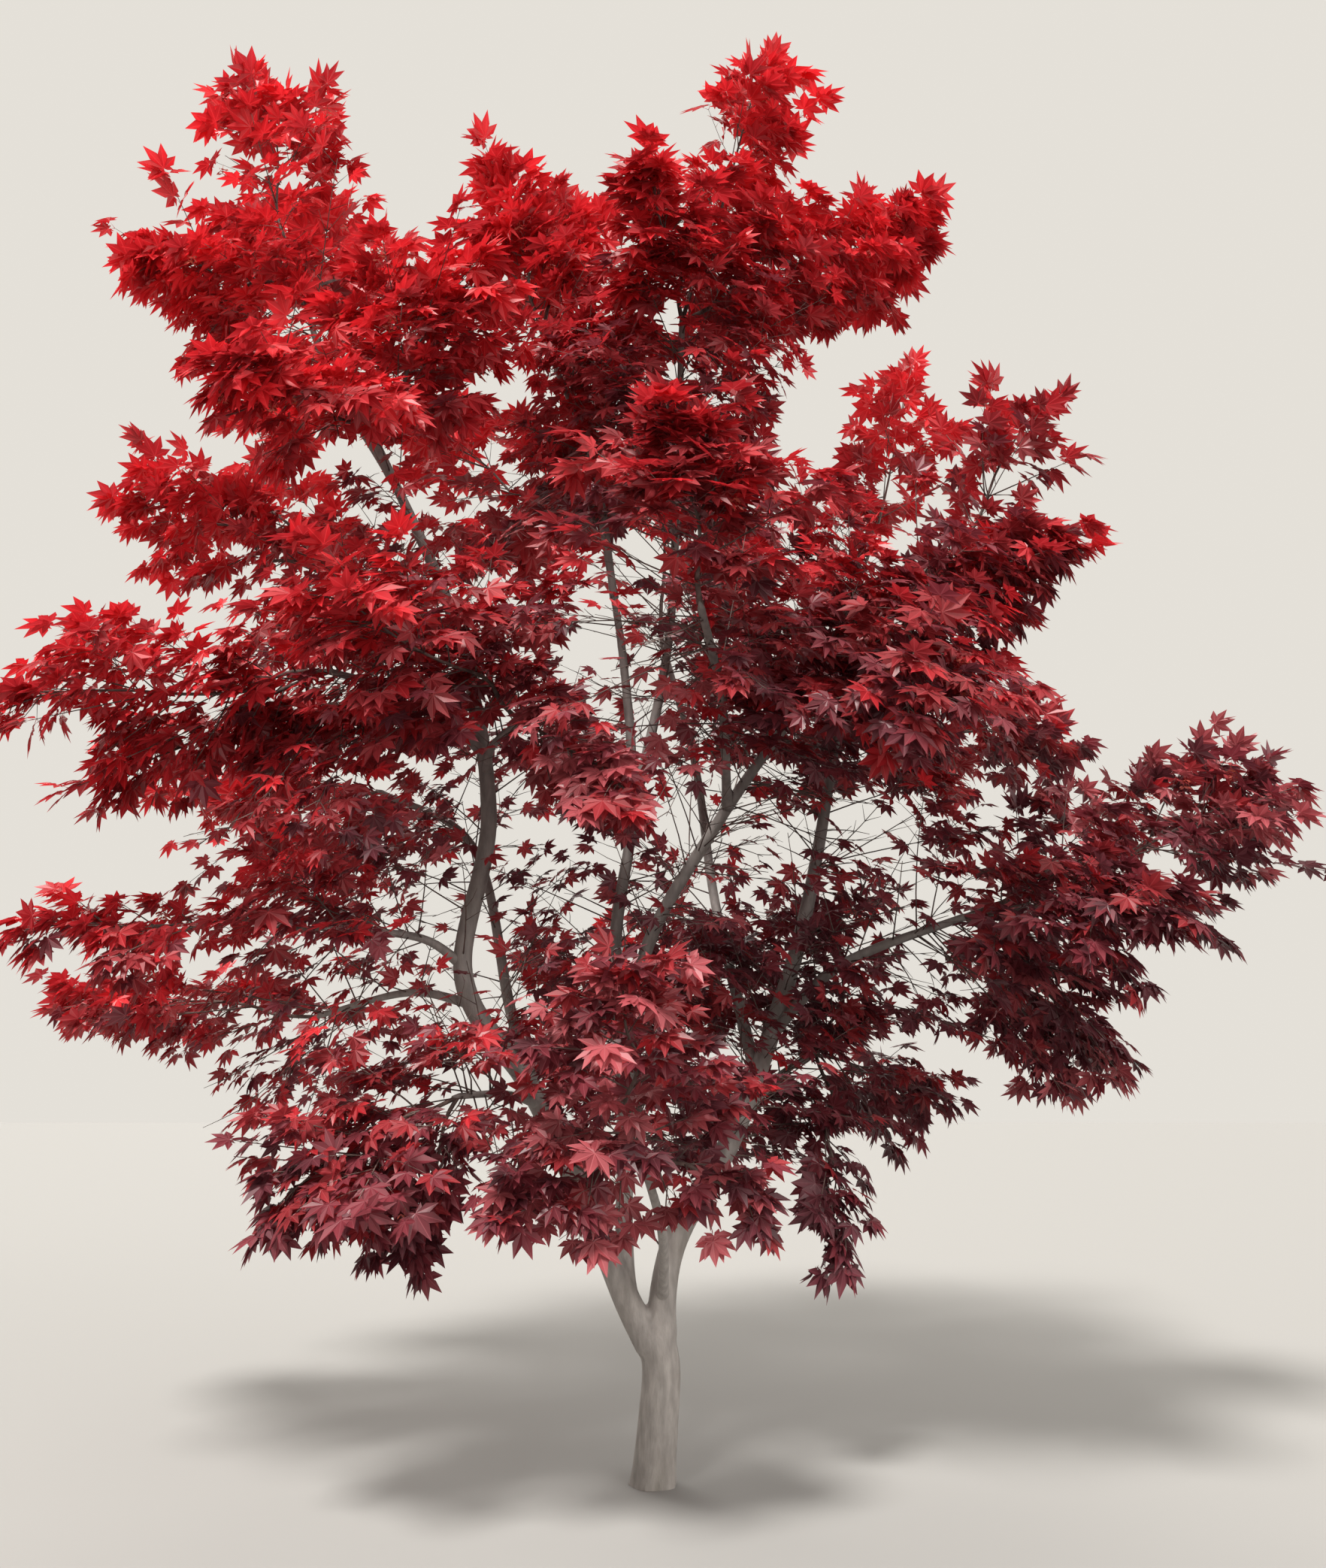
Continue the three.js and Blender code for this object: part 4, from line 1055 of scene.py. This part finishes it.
# Painted light and shade together with the leaves' own warmth: how the red lightens with height, to the left,
# outwards and on top of each mass.
WARMTH_AND_LIGHT_START = 0.01
HEIGHT_WARMTH_AND_LIGHT, HEIGHT_WARMTH_AND_LIGHT_POWER, WARMTH_AND_LIGHT_FOOT, WARMTH_AND_LIGHT_RISE = 0.66, 0.7, 0.5, 3.6
LEFT_WARMTH_AND_LIGHT, FAR_RIGHT_WARMTH_AND_LIGHT, FAR_RIGHT = 0.09, 0.18, 0.8
PAINTED_OUTER_LIGHT, OUT_STRETCH, OUT_LEAST, OUT_MOST, OUT_MIDDLE = 0.25, (1, 1, 0.75), 0.3, 1.3, 0.8
PAINTED_TOP_LIGHT, ABOVE_MOST = 0.35, 0.35
# Painted sheen: in these masses a share of the twigs takes the dusty pink of reflected light on the leaves.
SHEEN_MASSES = ("front_centre", "front_left", "front_right", "mid_cluster", "far_right", "low_right_pad")
SHEEN_SHARE = 0.34
sheen_masses = [i for i, row in enumerate(MASS_ROWS) if row[0] in SHEEN_MASSES]


def deal_reds(batch, spread):
    """A red for each twig, partly the leaves' own autumn colour and partly painted light and shade. The sum
    of warmth and light rises with a power of the height and to the left, outwards from the crown's middle and
    from the under side of its mass to the upper, so that the lit outside and tops are painted lighter and the
    shaded inside and undersides darker, and falls off once more at the far right; a chance number of a
    given spread is added. Steps of the sum name the red, and in some masses a share of the twigs takes the
    dusty pink of a painted sheen."""
    middle = twig_points(batch, DEALT_AT)
    outward = np.linalg.norm((middle - CROWN_MIDDLE) * OUT_STRETCH, axis=1)
    above = (middle - MASS_CENTRE[batch["mass"]])[:, 2]
    height = np.clip((middle[:, 2] - WARMTH_AND_LIGHT_FOOT) / WARMTH_AND_LIGHT_RISE, 0, 1)
    # Painted light and shade: the red is lighter high up, to the left, outside and on top of each mass, and
    # darker low, inside and beneath.
    warmth_and_light = WARMTH_AND_LIGHT_START + HEIGHT_WARMTH_AND_LIGHT * height**HEIGHT_WARMTH_AND_LIGHT_POWER - LEFT_WARMTH_AND_LIGHT * middle[:, 0]
    warmth_and_light = warmth_and_light - FAR_RIGHT_WARMTH_AND_LIGHT * np.clip(middle[:, 0] - FAR_RIGHT, 0, 1)
    outer = PAINTED_OUTER_LIGHT * (np.clip(outward, OUT_LEAST, OUT_MOST) - OUT_MIDDLE)
    warmth_and_light += outer + PAINTED_TOP_LIGHT * np.clip(above, -ABOVE_MOST, ABOVE_MOST)
    warmth_and_light = warmth_and_light + chances.normal(0, spread, len(middle))
    red = np.digitize(-warmth_and_light, -RED_STEPS)
    # painted sheen for a share of the twigs in these masses
    sheened = np.isin(batch["mass"], sheen_masses) & (chances.random(len(middle)) < SHEEN_SHARE)
    return np.where(sheened, SHEEN_ROSE, red)


print("reds", RED_NAMES, "rose in", len(sheen_masses), "masses")

# %% [markdown]
# A leaf is a hand of pointed lobes: five long ones and two short ones at the back, meeting at the stalk.
# It is drawn once, flat, as a share of its middle lobe: each lobe widens from the notch, is widest about
# halfway, and runs to a sharp tip. The rib of each lobe is an edge of the mesh, and its two halves stand
# up from it a little, so that light breaks over it.

# %% One leaf
LOBE_TURNS = np.radians([0, 40, -40, 82, -82])
LOBE_LENGTHS = np.array([1.0, 0.94, 0.94, 0.72, 0.72])
LOBE_WIDEST, LOBE_HALF_WIDTH = 0.52, 0.185
NOTCH_TURNS, NOTCH_DEPTHS = np.radians([20, 61, 105]), (0.41, 0.37, 0.25)
LOBE_NOTCHES = [(-1, 1), (1, 2), (-2, -1), (2, 3), (-3, -2)]
BACK_TURN, BACK_LENGTH = math.radians(128), 0.36
HEEL_TURN, HEEL_LENGTH = math.radians(150), 0.12
RIB_DEPTH = 0.035


def leaf_pattern():
    """Points (along, aside, up), triangles and flat coordinates (distance from the rib, distance from the
    stalk) of one leaf. A point out on a lobe and beside its rib is out along the lobe's turn, and beside
    square to it. Point 0 is where the stalk meets the leaf."""
    points, flat, faces = [(0.0, 0.0, 0.0)], [(0.0, 0.0)], []

    def put(turn, out, beside, high, edge):
        along = out * math.cos(turn) - beside * math.sin(turn)
        across = out * math.sin(turn) + beside * math.cos(turn)
        points.append((along, across, high))
        flat.append((edge, out))
        return len(points) - 1

    notch = {}
    for sign in (1, -1):
        for order, (turn, depth) in enumerate(zip(NOTCH_TURNS, NOTCH_DEPTHS)):
            notch[sign * (order + 1)] = put(sign * turn, depth, 0, RIB_DEPTH, 1)
    for turn, length, (low, high) in zip(LOBE_TURNS, LOBE_LENGTHS, LOBE_NOTCHES):
        half = LOBE_HALF_WIDTH * length**0.5
        right = put(turn, LOBE_WIDEST * length, -half, RIB_DEPTH, 1)
        left = put(turn, LOBE_WIDEST * length, half, RIB_DEPTH, 1)
        tip = put(turn, length, 0, 0, 0)
        faces += [(0, notch[low], right), (0, right, tip), (0, tip, left), (0, left, notch[high])]
    for sign in (1, -1):
        tip = put(sign * BACK_TURN, BACK_LENGTH, 0, 0, 0)
        heel = put(sign * HEEL_TURN, HEEL_LENGTH, 0, RIB_DEPTH, 1)
        pair = [(0, notch[sign * 3], tip), (0, tip, heel)]
        faces += pair if sign > 0 else [face[::-1] for face in pair]
    return np.array(points), np.array(faces), np.array(flat)


LEAF_POINTS, LEAF_FACES, LEAF_FLAT = leaf_pattern()
print("leaf:", len(LEAF_POINTS), "points", len(LEAF_FACES), "triangles")

# %% [markdown]
# Leaves sit in opposite pairs too, at even steps back from the tip of every shoot, and at many tips one
# more points straight ahead. They are placed for a whole batch at once, pair by pair, and a chance share
# of them is missing, as on any real twig. Each leaf takes over its twig's red, and those near the rim of
# the crown, which have the most light, grow a little larger. The inner twigs are dealt their reds with the
# rest, though only their shoots carry leaves.

# %% Where the leaves sit
LEAF_STEP, LEAF_FROM = 0.049, 0.22
LEAF_FORK, LEAF_FORK_TIP = math.radians(48), math.radians(34)
LEAF_FORK_JITTER, LEAF_ROLL = 0.3, 0.6
INNER_SCALE = 0.9
RIM_GROWTH, GROWTH_FROM = 0.25, 0.5
INNER_SPREAD = 0.08
LEAFY_SHARE = 0.86


def leaf_places(batch, most, skip, ahead):
    """Up to so many pairs of leaves on each twig, less a share that is skipped; a share of the twigs has
    one leaf ahead as well, whose side counts for nothing. A twig always has its first pair."""
    made = []
    for order in range(most):
        share = 1 - order * LEAF_STEP / batch["length"]
        kept = np.flatnonzero(share > LEAF_FROM) if order else np.arange(len(share))
        for hand in (-1.0, 1.0) if order else (-1.0, 0.0, 1.0):
            chosen = kept[chances.random(len(kept)) < (1 - skip if hand else ahead)]
            twig = rows_of(batch, chosen)
            at = np.clip(share[chosen], 0, 1)
            heading = twig_heading(twig, at)
            fork = (LEAF_FORK if order else LEAF_FORK_TIP) + jitter(len(chosen), LEAF_FORK_JITTER)
            roll = jitter(len(chosen), LEAF_ROLL)[:, None]
            side = flat_side(heading)
            side = np.cos(roll) * side + np.sin(roll) * np.cross(side, heading)
            made.append({"root": twig_points(twig, at), "direction": forked(fork, hand, heading, side),
                         "red": twig["red"], "scale": twig["scale"]})
    return stacked(made)


OUTER_SPREADS = [(twigs, 0.07), (runners, 0.07), (leads, 0.05), (shoots, 0.075)]
for batch, spread in OUTER_SPREADS:
    batch["red"] = deal_reds(batch, spread)
    out = (edge_of(batch["mass"], twig_points(batch, 1)) - GROWTH_FROM) / (1 - GROWTH_FROM)
    batch["scale"] = 1 + RIM_GROWTH * np.clip(out, 0, 1)
for batch in (inner, inner_shoots):
    batch["red"] = deal_reds(batch, INNER_SPREAD)
    batch["scale"] = np.full(len(batch["red"]), INNER_SCALE)
leafy = rows_of(inner_shoots, np.flatnonzero(chances.random(len(inner_shoots["red"])) < LEAFY_SHARE))
leaves = stacked([
    # pairs of leaves, the share skipped, and the share of tips with a leaf ahead
    leaf_places(shoots, 3, 0.1, 0.4),
    leaf_places(twigs, 4, 0.12, 0.8),
    leaf_places(runners, 6, 0.15, 1.0),
    leaf_places(leads, 3, 0.0, 1.0),
    leaf_places(leafy, 2, 0.1, 0.3),
])
print("leaves", len(leaves["red"]))

# %% [markdown]
# Four things are put right leaf by leaf. A leaf that would stick in a limb goes, and so does one that
# would pass the box of the solids. The openings take their share once more, because a leaf reaches
# further than the shoot that it sits on. Last, the red of single leaves is shifted by one step either
# way, since a real spray is never quite even.

# %% Leaves that touch no limb and keep to the tree's box
LIMB_ROOM, BOX_ROOM = 0.02, 0.01
LEAF_MIDDLE_OUT, LEAF_TIP_OUT = 0.03, 0.08
LIMB_SPOT_STEP = 8
CHUNK = 4000
RED_SHIFTS, RED_SHIFT_SHARES = [-1, 0, 1], [0.12, 0.7, 0.18]

limb_spots = np.concatenate([limb["curve"][::LIMB_SPOT_STEP] for limb in limbs.values()])
limb_radii = np.concatenate([np.linspace(limb["base"], limb["tip"], CURVE_STEPS)[::LIMB_SPOT_STEP]
                             for limb in limbs.values()])
middles = leaves["root"] + LEAF_MIDDLE_OUT * leaves["direction"]
gaps = []
for start in range(0, len(middles), CHUNK):
    away = np.linalg.norm(middles[start:start + CHUNK, None] - limb_spots[None], axis=2)
    gaps.append((away - limb_radii).min(axis=1))
clear = np.concatenate(gaps) > LIMB_ROOM
clear &= chances.random(len(clear)) > left_out(leaves["root"])
ends = leaves["root"] + LEAF_TIP_OUT * leaves["direction"]
low, high = np.array(solid_box)
clear &= (ends > low - BOX_ROOM).all(axis=1) & (ends < high + BOX_ROOM).all(axis=1)
leaves = rows_of(leaves, np.flatnonzero(clear))
shift = chances.choice(RED_SHIFTS, len(leaves["red"]), p=RED_SHIFT_SHARES)
shifted = np.clip(leaves["red"] + shift, 0, MAROON)
leaves["red"] = np.where(leaves["red"] < SHEEN_ROSE, shifted, leaves["red"])
print("leaves kept", len(leaves["red"]))

# %% [markdown]
# A maple leaf hangs: its blade tips down and outwards from the crown, so that each leaf finds light, and
# its lobes curl back. All of that is a matter of directions. Each leaf gets three of its own, forwards,
# aside and up, and the pattern's points are laid out along them, for thousands of leaves at once.

# %% Leaves as meshes
LEAF_SIZE, LEAF_SIZE_SPREAD = 0.049, 0.2
SIZE_RISE, SIZE_RISE_FROM, SIZE_RISE_OVER = 0.24, 1.2, 2.4
STALK_SHORT, STALK_LONG, STALK_HALF = 0.012, 0.032, 0.0008
DROOP_LEAST, DROOP_MOST = 0.05, 0.65
OUTWARDS, FORWARD_STRAY, FACING_STRAY = 0.25, 0.15, 0.22
LEAF_LEAN, LEAF_LEAN_SPREAD = math.radians(42), math.radians(26)
CURL_LEAST, CURL_MOST = 0.02, 0.34
WIDTH_SPREAD = 0.1


def leaf_meshes(group):
    """Each leaf's points are hub + size (along F + aside S + lift N), where lift is the point's height less
    the curl times its squared distance from the hub. F hangs a little below its stalk, N leans from
    straight up towards the outside of the crown, and S is square to both. Two crossed slivers make the
    stalk."""
    count, direction = len(group["red"]), group["direction"]
    hub = group["root"] + chances.uniform(STALK_SHORT, STALK_LONG, count)[:, None] * direction
    out = hub - CROWN_MIDDLE
    out[:, 2] = 0
    out = unit(out)
    droop = chances.uniform(DROOP_LEAST, DROOP_MOST, count)[:, None]
    stray = chances.normal(0, FORWARD_STRAY, (count, 3))
    forward = unit(direction + OUTWARDS * out - droop * UP + stray)
    lean = (LEAF_LEAN + jitter(count, LEAF_LEAN_SPREAD))[:, None]
    facing = np.cos(lean) * UP + np.sin(lean) * out + chances.normal(0, FACING_STRAY, (count, 3))
    normal = unit(facing - (facing * forward).sum(1)[:, None] * forward)
    side = np.cross(normal, forward)
    rise = 1 + SIZE_RISE * np.clip((hub[:, 2] - SIZE_RISE_FROM) / SIZE_RISE_OVER, 0, 1)
    size = LEAF_SIZE * (group["scale"] * rise * (1 + jitter(count, LEAF_SIZE_SPREAD)))[:, None]
    curl = chances.uniform(CURL_LEAST, CURL_MOST, count)[:, None]
    width = 1 + jitter(count, WIDTH_SPREAD)[:, None]
    along, aside, high = LEAF_POINTS.T
    lift = high[None] - curl * (along**2 + aside**2)[None]
    blade = hub[:, None] + size[..., None] * (
        along[None, :, None] * forward[:, None] + (width * aside)[..., None] * side[:, None]
        + lift[..., None] * normal[:, None])
    feet = [group["root"] + half * way for way in (side, normal) for half in (STALK_HALF, -STALK_HALF)]
    points = np.concatenate([blade, np.stack(feet, axis=1)], axis=1)
    last = len(LEAF_POINTS)
    pattern = np.concatenate([LEAF_FACES, [(0, last, last + 1), (0, last + 2, last + 3)]])
    flat = np.concatenate([LEAF_FLAT, np.tile([1.0, 0.0], (4, 1))])
    return (points.reshape(-1, 3), copies(pattern, points.shape[1], count),
            np.tile(flat[pattern.ravel()], (count, 1)))


print("a leaf is about", round(2 * LEAF_SIZE * float(LEAF_POINTS[:, 1].max()), 3), "metres across")

# %% [markdown]
# A leaf lets light through: seen against the light it glows, seen from the front it has a soft gloss. So
# its finish is a mix of two shaders, an ordinary surface and a translucent one, in the same red. The red
# itself isn't flat. It is paler along the ribs and darker towards the margin, which the leaf's own flat
# coordinates say, and slow noise through the crown makes some leaves lighter than others.

# %% The leaf material
RIB_HALF, MARGIN_FROM, MARGIN_SHARE, MARGIN_DARK = 0.11, 0.55, 0.55, 0.55
CLOUD, CLOUD_DARK_AT, CLOUD_LIGHT_AT = (7, 2), 0.35, 0.65
CLOUD_DARK, CLOUD_LIGHT, CLOUD_LIFT = 0.72, 1.2, 0.004
RIB_GAIN, RIB_LIFT = (1.15, 1.6, 1.5), (0.05, 0.02, 0.02)
LEAF_ROUGHNESS, LEAF_GLOSS, LEAF_GLOW = 0.4, 0.5, 0.35


def brighter(colour, gains, lifts):
    """Each part of a colour times its gain, plus its lift, and no more than 1."""
    return tuple(min(1.0, value * gain + lift) for value, gain, lift in zip(colour, gains, lifts))


def leaf_material(name, colour):
    """A thin leaf: its red, paler along the ribs and darker to the margin, with some light shining
    through and a soft gloss."""
    material, add = new_material(name)
    flat = add("ShaderNodeSeparateXYZ", {"Vector": add("ShaderNodeUVMap", uv_map="flat").outputs[0]})
    rib = shades(add, flat.outputs[0], [(0.0, grey(1)), (RIB_HALF, grey(0))])
    cloud = noise_at(add, add("ShaderNodeTexCoord").outputs["Object"], *CLOUD)
    dark = tuple(CLOUD_DARK * value for value in colour)
    light = brighter(colour, grey(CLOUD_LIGHT), grey(CLOUD_LIFT))
    blade = shades(add, cloud, [(CLOUD_DARK_AT, dark), (CLOUD_LIGHT_AT, light)])
    margin = shades(add, flat.outputs[0], [(MARGIN_FROM, grey(0)), (1.0, grey(MARGIN_SHARE))])
    edged = blend_of(add, margin, blade, (*[MARGIN_DARK * value for value in colour], 1))
    veined = blend_of(add, rib, edged, (*brighter(colour, RIB_GAIN, RIB_LIFT), 1))
    skin = add("ShaderNodeBsdfPrincipled", {"Base Color": veined, "Roughness": LEAF_ROUGHNESS,
                                            "Specular IOR Level": LEAF_GLOSS})
    glow = add("ShaderNodeBsdfTranslucent", {"Color": veined})
    mix = add("ShaderNodeMixShader", {0: LEAF_GLOW, 1: skin.outputs[0], 2: glow.outputs[0]})
    add("ShaderNodeOutputMaterial", {"Surface": mix.outputs[0]})
    return material


# %% The leaves, red by red
LEAVES_A_PIECE = 7500
for index, red in enumerate(RED_NAMES):
    members = np.flatnonzero(leaves["red"] == index)
    material = leaf_material("leaf_" + red, REDS[red])
    for part, start in enumerate(range(0, len(members), LEAVES_A_PIECE)):
        points, triangles, flat = leaf_meshes(rows_of(leaves, members[start:start + LEAVES_A_PIECE]))
        piece = add_piece(f"leaves_{red}_{part + 1}", points, triangles, material, flat=flat)

# %% [markdown]
# Small winged fruits hang in loose clusters under the outer sprays: from one thin stalk, a few pairs of
# wings spread like a propeller. They are redder than the twigs and hardly a thumb's width each, so each
# wing is a bent blade of two triangles, and the clusters are placed by chance near the rim.

# %% The shape of the fruits
FRUIT_CLUSTERS, FRUIT_PAIRS = 190, 5
FRUIT_AT = 0.9
RIM_WEIGHT, RIM_WEIGHT_LEAST = 0.6, 0.2
STALK_DROP, DROP_START, DROP_LEAST, DROP_MOST = 0.035, 0.35, 0.7, 1.3
STALK_STRAY, STALK_THICK, STALK_THIN = 0.05, 0.0007, 0.0004
GOLDEN_TURN = 2.4
KNOT_OUT = 0.008
WING_LENGTH, WING_WIDTH, WING_HANG = 0.017, 0.006, (0.8, 0.45)
WING_CORNERS = [(0, 0), (0.55, 0.5), (1, 0), (0.6, -0.5)]
WING_FACES = np.array([(0, 1, 2), (0, 2, 3)])
SEED_SIZE = 0.0032
SEED_CORNERS = np.array([(0.6, 0, 0), (-0.3, 0.48, 0), (-0.3, -0.48, 0), (0, 0, 0.54), (0, 0, -0.66)])
SEED_FACES = np.array([(0, 1, 3), (1, 2, 3), (2, 0, 3), (1, 0, 4), (2, 1, 4), (0, 2, 4)])


def fruit_clusters(batch, count):
    """For each chosen shoot, a stalk that hangs straight down, and down its length pairs of wings that turn
    round it by the golden angle. A wing's corners are knot + length L + width W, where L points away from
    the other wing and down, and W is square to it. Shoots that are high or far out are chosen more."""
    rim = batch["root"][:, 2] + RIM_WEIGHT * np.linalg.norm(batch["root"][:, :2], axis=1)
    weight = np.clip(rim, RIM_WEIGHT_LEAST, None) ** 2
    picks = chances.choice(len(rim), count, replace=False, p=weight / weight.sum())
    top = twig_points(rows_of(batch, picks), FRUIT_AT)
    order = np.arange(FRUIT_PAIRS)
    drop = (DROP_START + (1 - DROP_START) * order / FRUIT_PAIRS)[None] * STALK_DROP
    drop = drop * chances.uniform(DROP_LEAST, DROP_MOST, count)[:, None]
    turn = order[None] * GOLDEN_TURN + chances.uniform(0, FULL_TURN, count)[:, None]
    aside = np.stack([np.cos(turn), np.sin(turn), np.zeros_like(turn)], axis=-1)
    ahead = np.stack([-np.sin(turn), np.cos(turn), np.zeros_like(turn)], axis=-1)
    knot = top[:, None] - drop[..., None] * UP + KNOT_OUT * aside
    parts = []
    for hand in (-1.0, 1.0):
        wing = unit(ahead * hand * WING_HANG[0] - UP * WING_HANG[1])
        flank = np.cross(wing, aside)
        corners = np.stack([knot + along * WING_LENGTH * wing + across * WING_WIDTH * flank
                            for along, across in WING_CORNERS], axis=2)
        parts.append((corners.reshape(-1, 3), copies(WING_FACES, len(WING_CORNERS), drop.size)))
    seeds = np.stack([knot + SEED_SIZE * corner for corner in SEED_CORNERS], axis=2)
    parts.append((seeds.reshape(-1, 3), copies(SEED_FACES, len(SEED_CORNERS), drop.size)))
    stray = chances.normal(0, STALK_STRAY, (count, 3))
    stalks = batch_of(top, np.tile(-UP, (count, 1)), drop[:, -1], 0, stray, STALK_THICK, STALK_THIN)
    return join([*parts, twig_tubes(stalks, 3, 3)])


# %% The fruits and their finish
FRUIT_MOTTLE, FRUIT_DARK_AT, FRUIT_LIGHT_AT, FRUIT_ROUGHNESS = (60, 2), 0.35, 0.65, 0.5
FRUIT_DARK, FRUIT_LIGHT = (0.22, 0.02, 0.02), (0.5, 0.09, 0.05)
fruit_red, add_node = new_material("fruit")
mottle = noise_at(add_node, add_node("ShaderNodeTexCoord").outputs["Object"], *FRUIT_MOTTLE)
fruit_colour = shades(add_node, mottle, [(FRUIT_DARK_AT, FRUIT_DARK), (FRUIT_LIGHT_AT, FRUIT_LIGHT)])
fruit_skin = add_node("ShaderNodeBsdfPrincipled", {"Base Color": fruit_colour, "Roughness": FRUIT_ROUGHNESS})
add_node("ShaderNodeOutputMaterial", {"Surface": fruit_skin.outputs[0]})
fruits = add_piece("winged_fruits", *fruit_clusters(shoots, FRUIT_CLUSTERS), fruit_red)

# %% [markdown]
# The tree stands in a plain studio, on a wide pale floor. A plain pale world lights it from all round, so
# that no leaf is ever black. The floor isn't part of the tree.

# %% Floor and world
FLOOR_HALF, FLOOR_COLOUR, FLOOR_ROUGHNESS = 30.0, (0.281, 0.276, 0.267, 1), 0.9
WORLD_COLOUR, WORLD_STRENGTH = (0.95, 0.91, 0.84, 1), 0.82

floor_corners = [(x * FLOOR_HALF, y * FLOOR_HALF, 0) for x, y in ((-1, -1), (1, -1), (1, 1), (-1, 1))]
floor_mesh = bpy.data.meshes.new("floor")
floor_mesh.from_pydata(floor_corners, [], [(0, 1, 2, 3)])
floor_material, add_node = new_material("floor")
floor_skin = add_node("ShaderNodeBsdfPrincipled", {"Base Color": FLOOR_COLOUR, "Roughness": FLOOR_ROUGHNESS})
add_node("ShaderNodeOutputMaterial", {"Surface": floor_skin.outputs[0]})
floor_mesh.materials.append(floor_material)
floor = bpy.data.objects.new("floor", floor_mesh)
bpy.context.scene.collection.objects.link(floor)

world = bpy.data.worlds.new("studio")
world.use_nodes = True
background = world.node_tree.nodes["Background"]
background.inputs["Color"].default_value = WORLD_COLOUR
background.inputs["Strength"].default_value = WORLD_STRENGTH
bpy.context.scene.world = world
print("floor", 2 * FLOOR_HALF, "metres wide, world strength", WORLD_STRENGTH)

# %% [markdown]
# Three soft suns do the rest. The key comes from high on the left in front, which is where the brightest
# sprays are. One from behind makes the thin leaves glow, because they show their best red with light
# coming through them. A weak and very soft one, from low in front on the right, fills the shade inside
# the crown.

# %% Three soft suns
SUNS = [
    ("key", 5.2, 14, (0.28, 0.7, -1.02), (1.0, 0.97, 0.93)),
    ("back", 1.3, 40, (0.3, -0.8, -0.7), (1.0, 0.96, 0.9)),
    ("fill", 1.6, 60, (-0.75, 0.7, -0.25), (1.0, 0.97, 0.94)),
]
for name, strength, softness, towards, colour in SUNS:
    light = bpy.data.lights.new(name, "SUN")
    light.energy, light.angle, light.color = strength, math.radians(softness), colour
    sun = bpy.data.objects.new(name, light)
    sun.rotation_euler = Vector(towards).to_track_quat("-Z", "Y").to_euler()
    bpy.context.scene.collection.objects.link(sun)
bpy.context.scene.view_settings.view_transform = "Standard"
print("suns", [row[0] for row in SUNS])
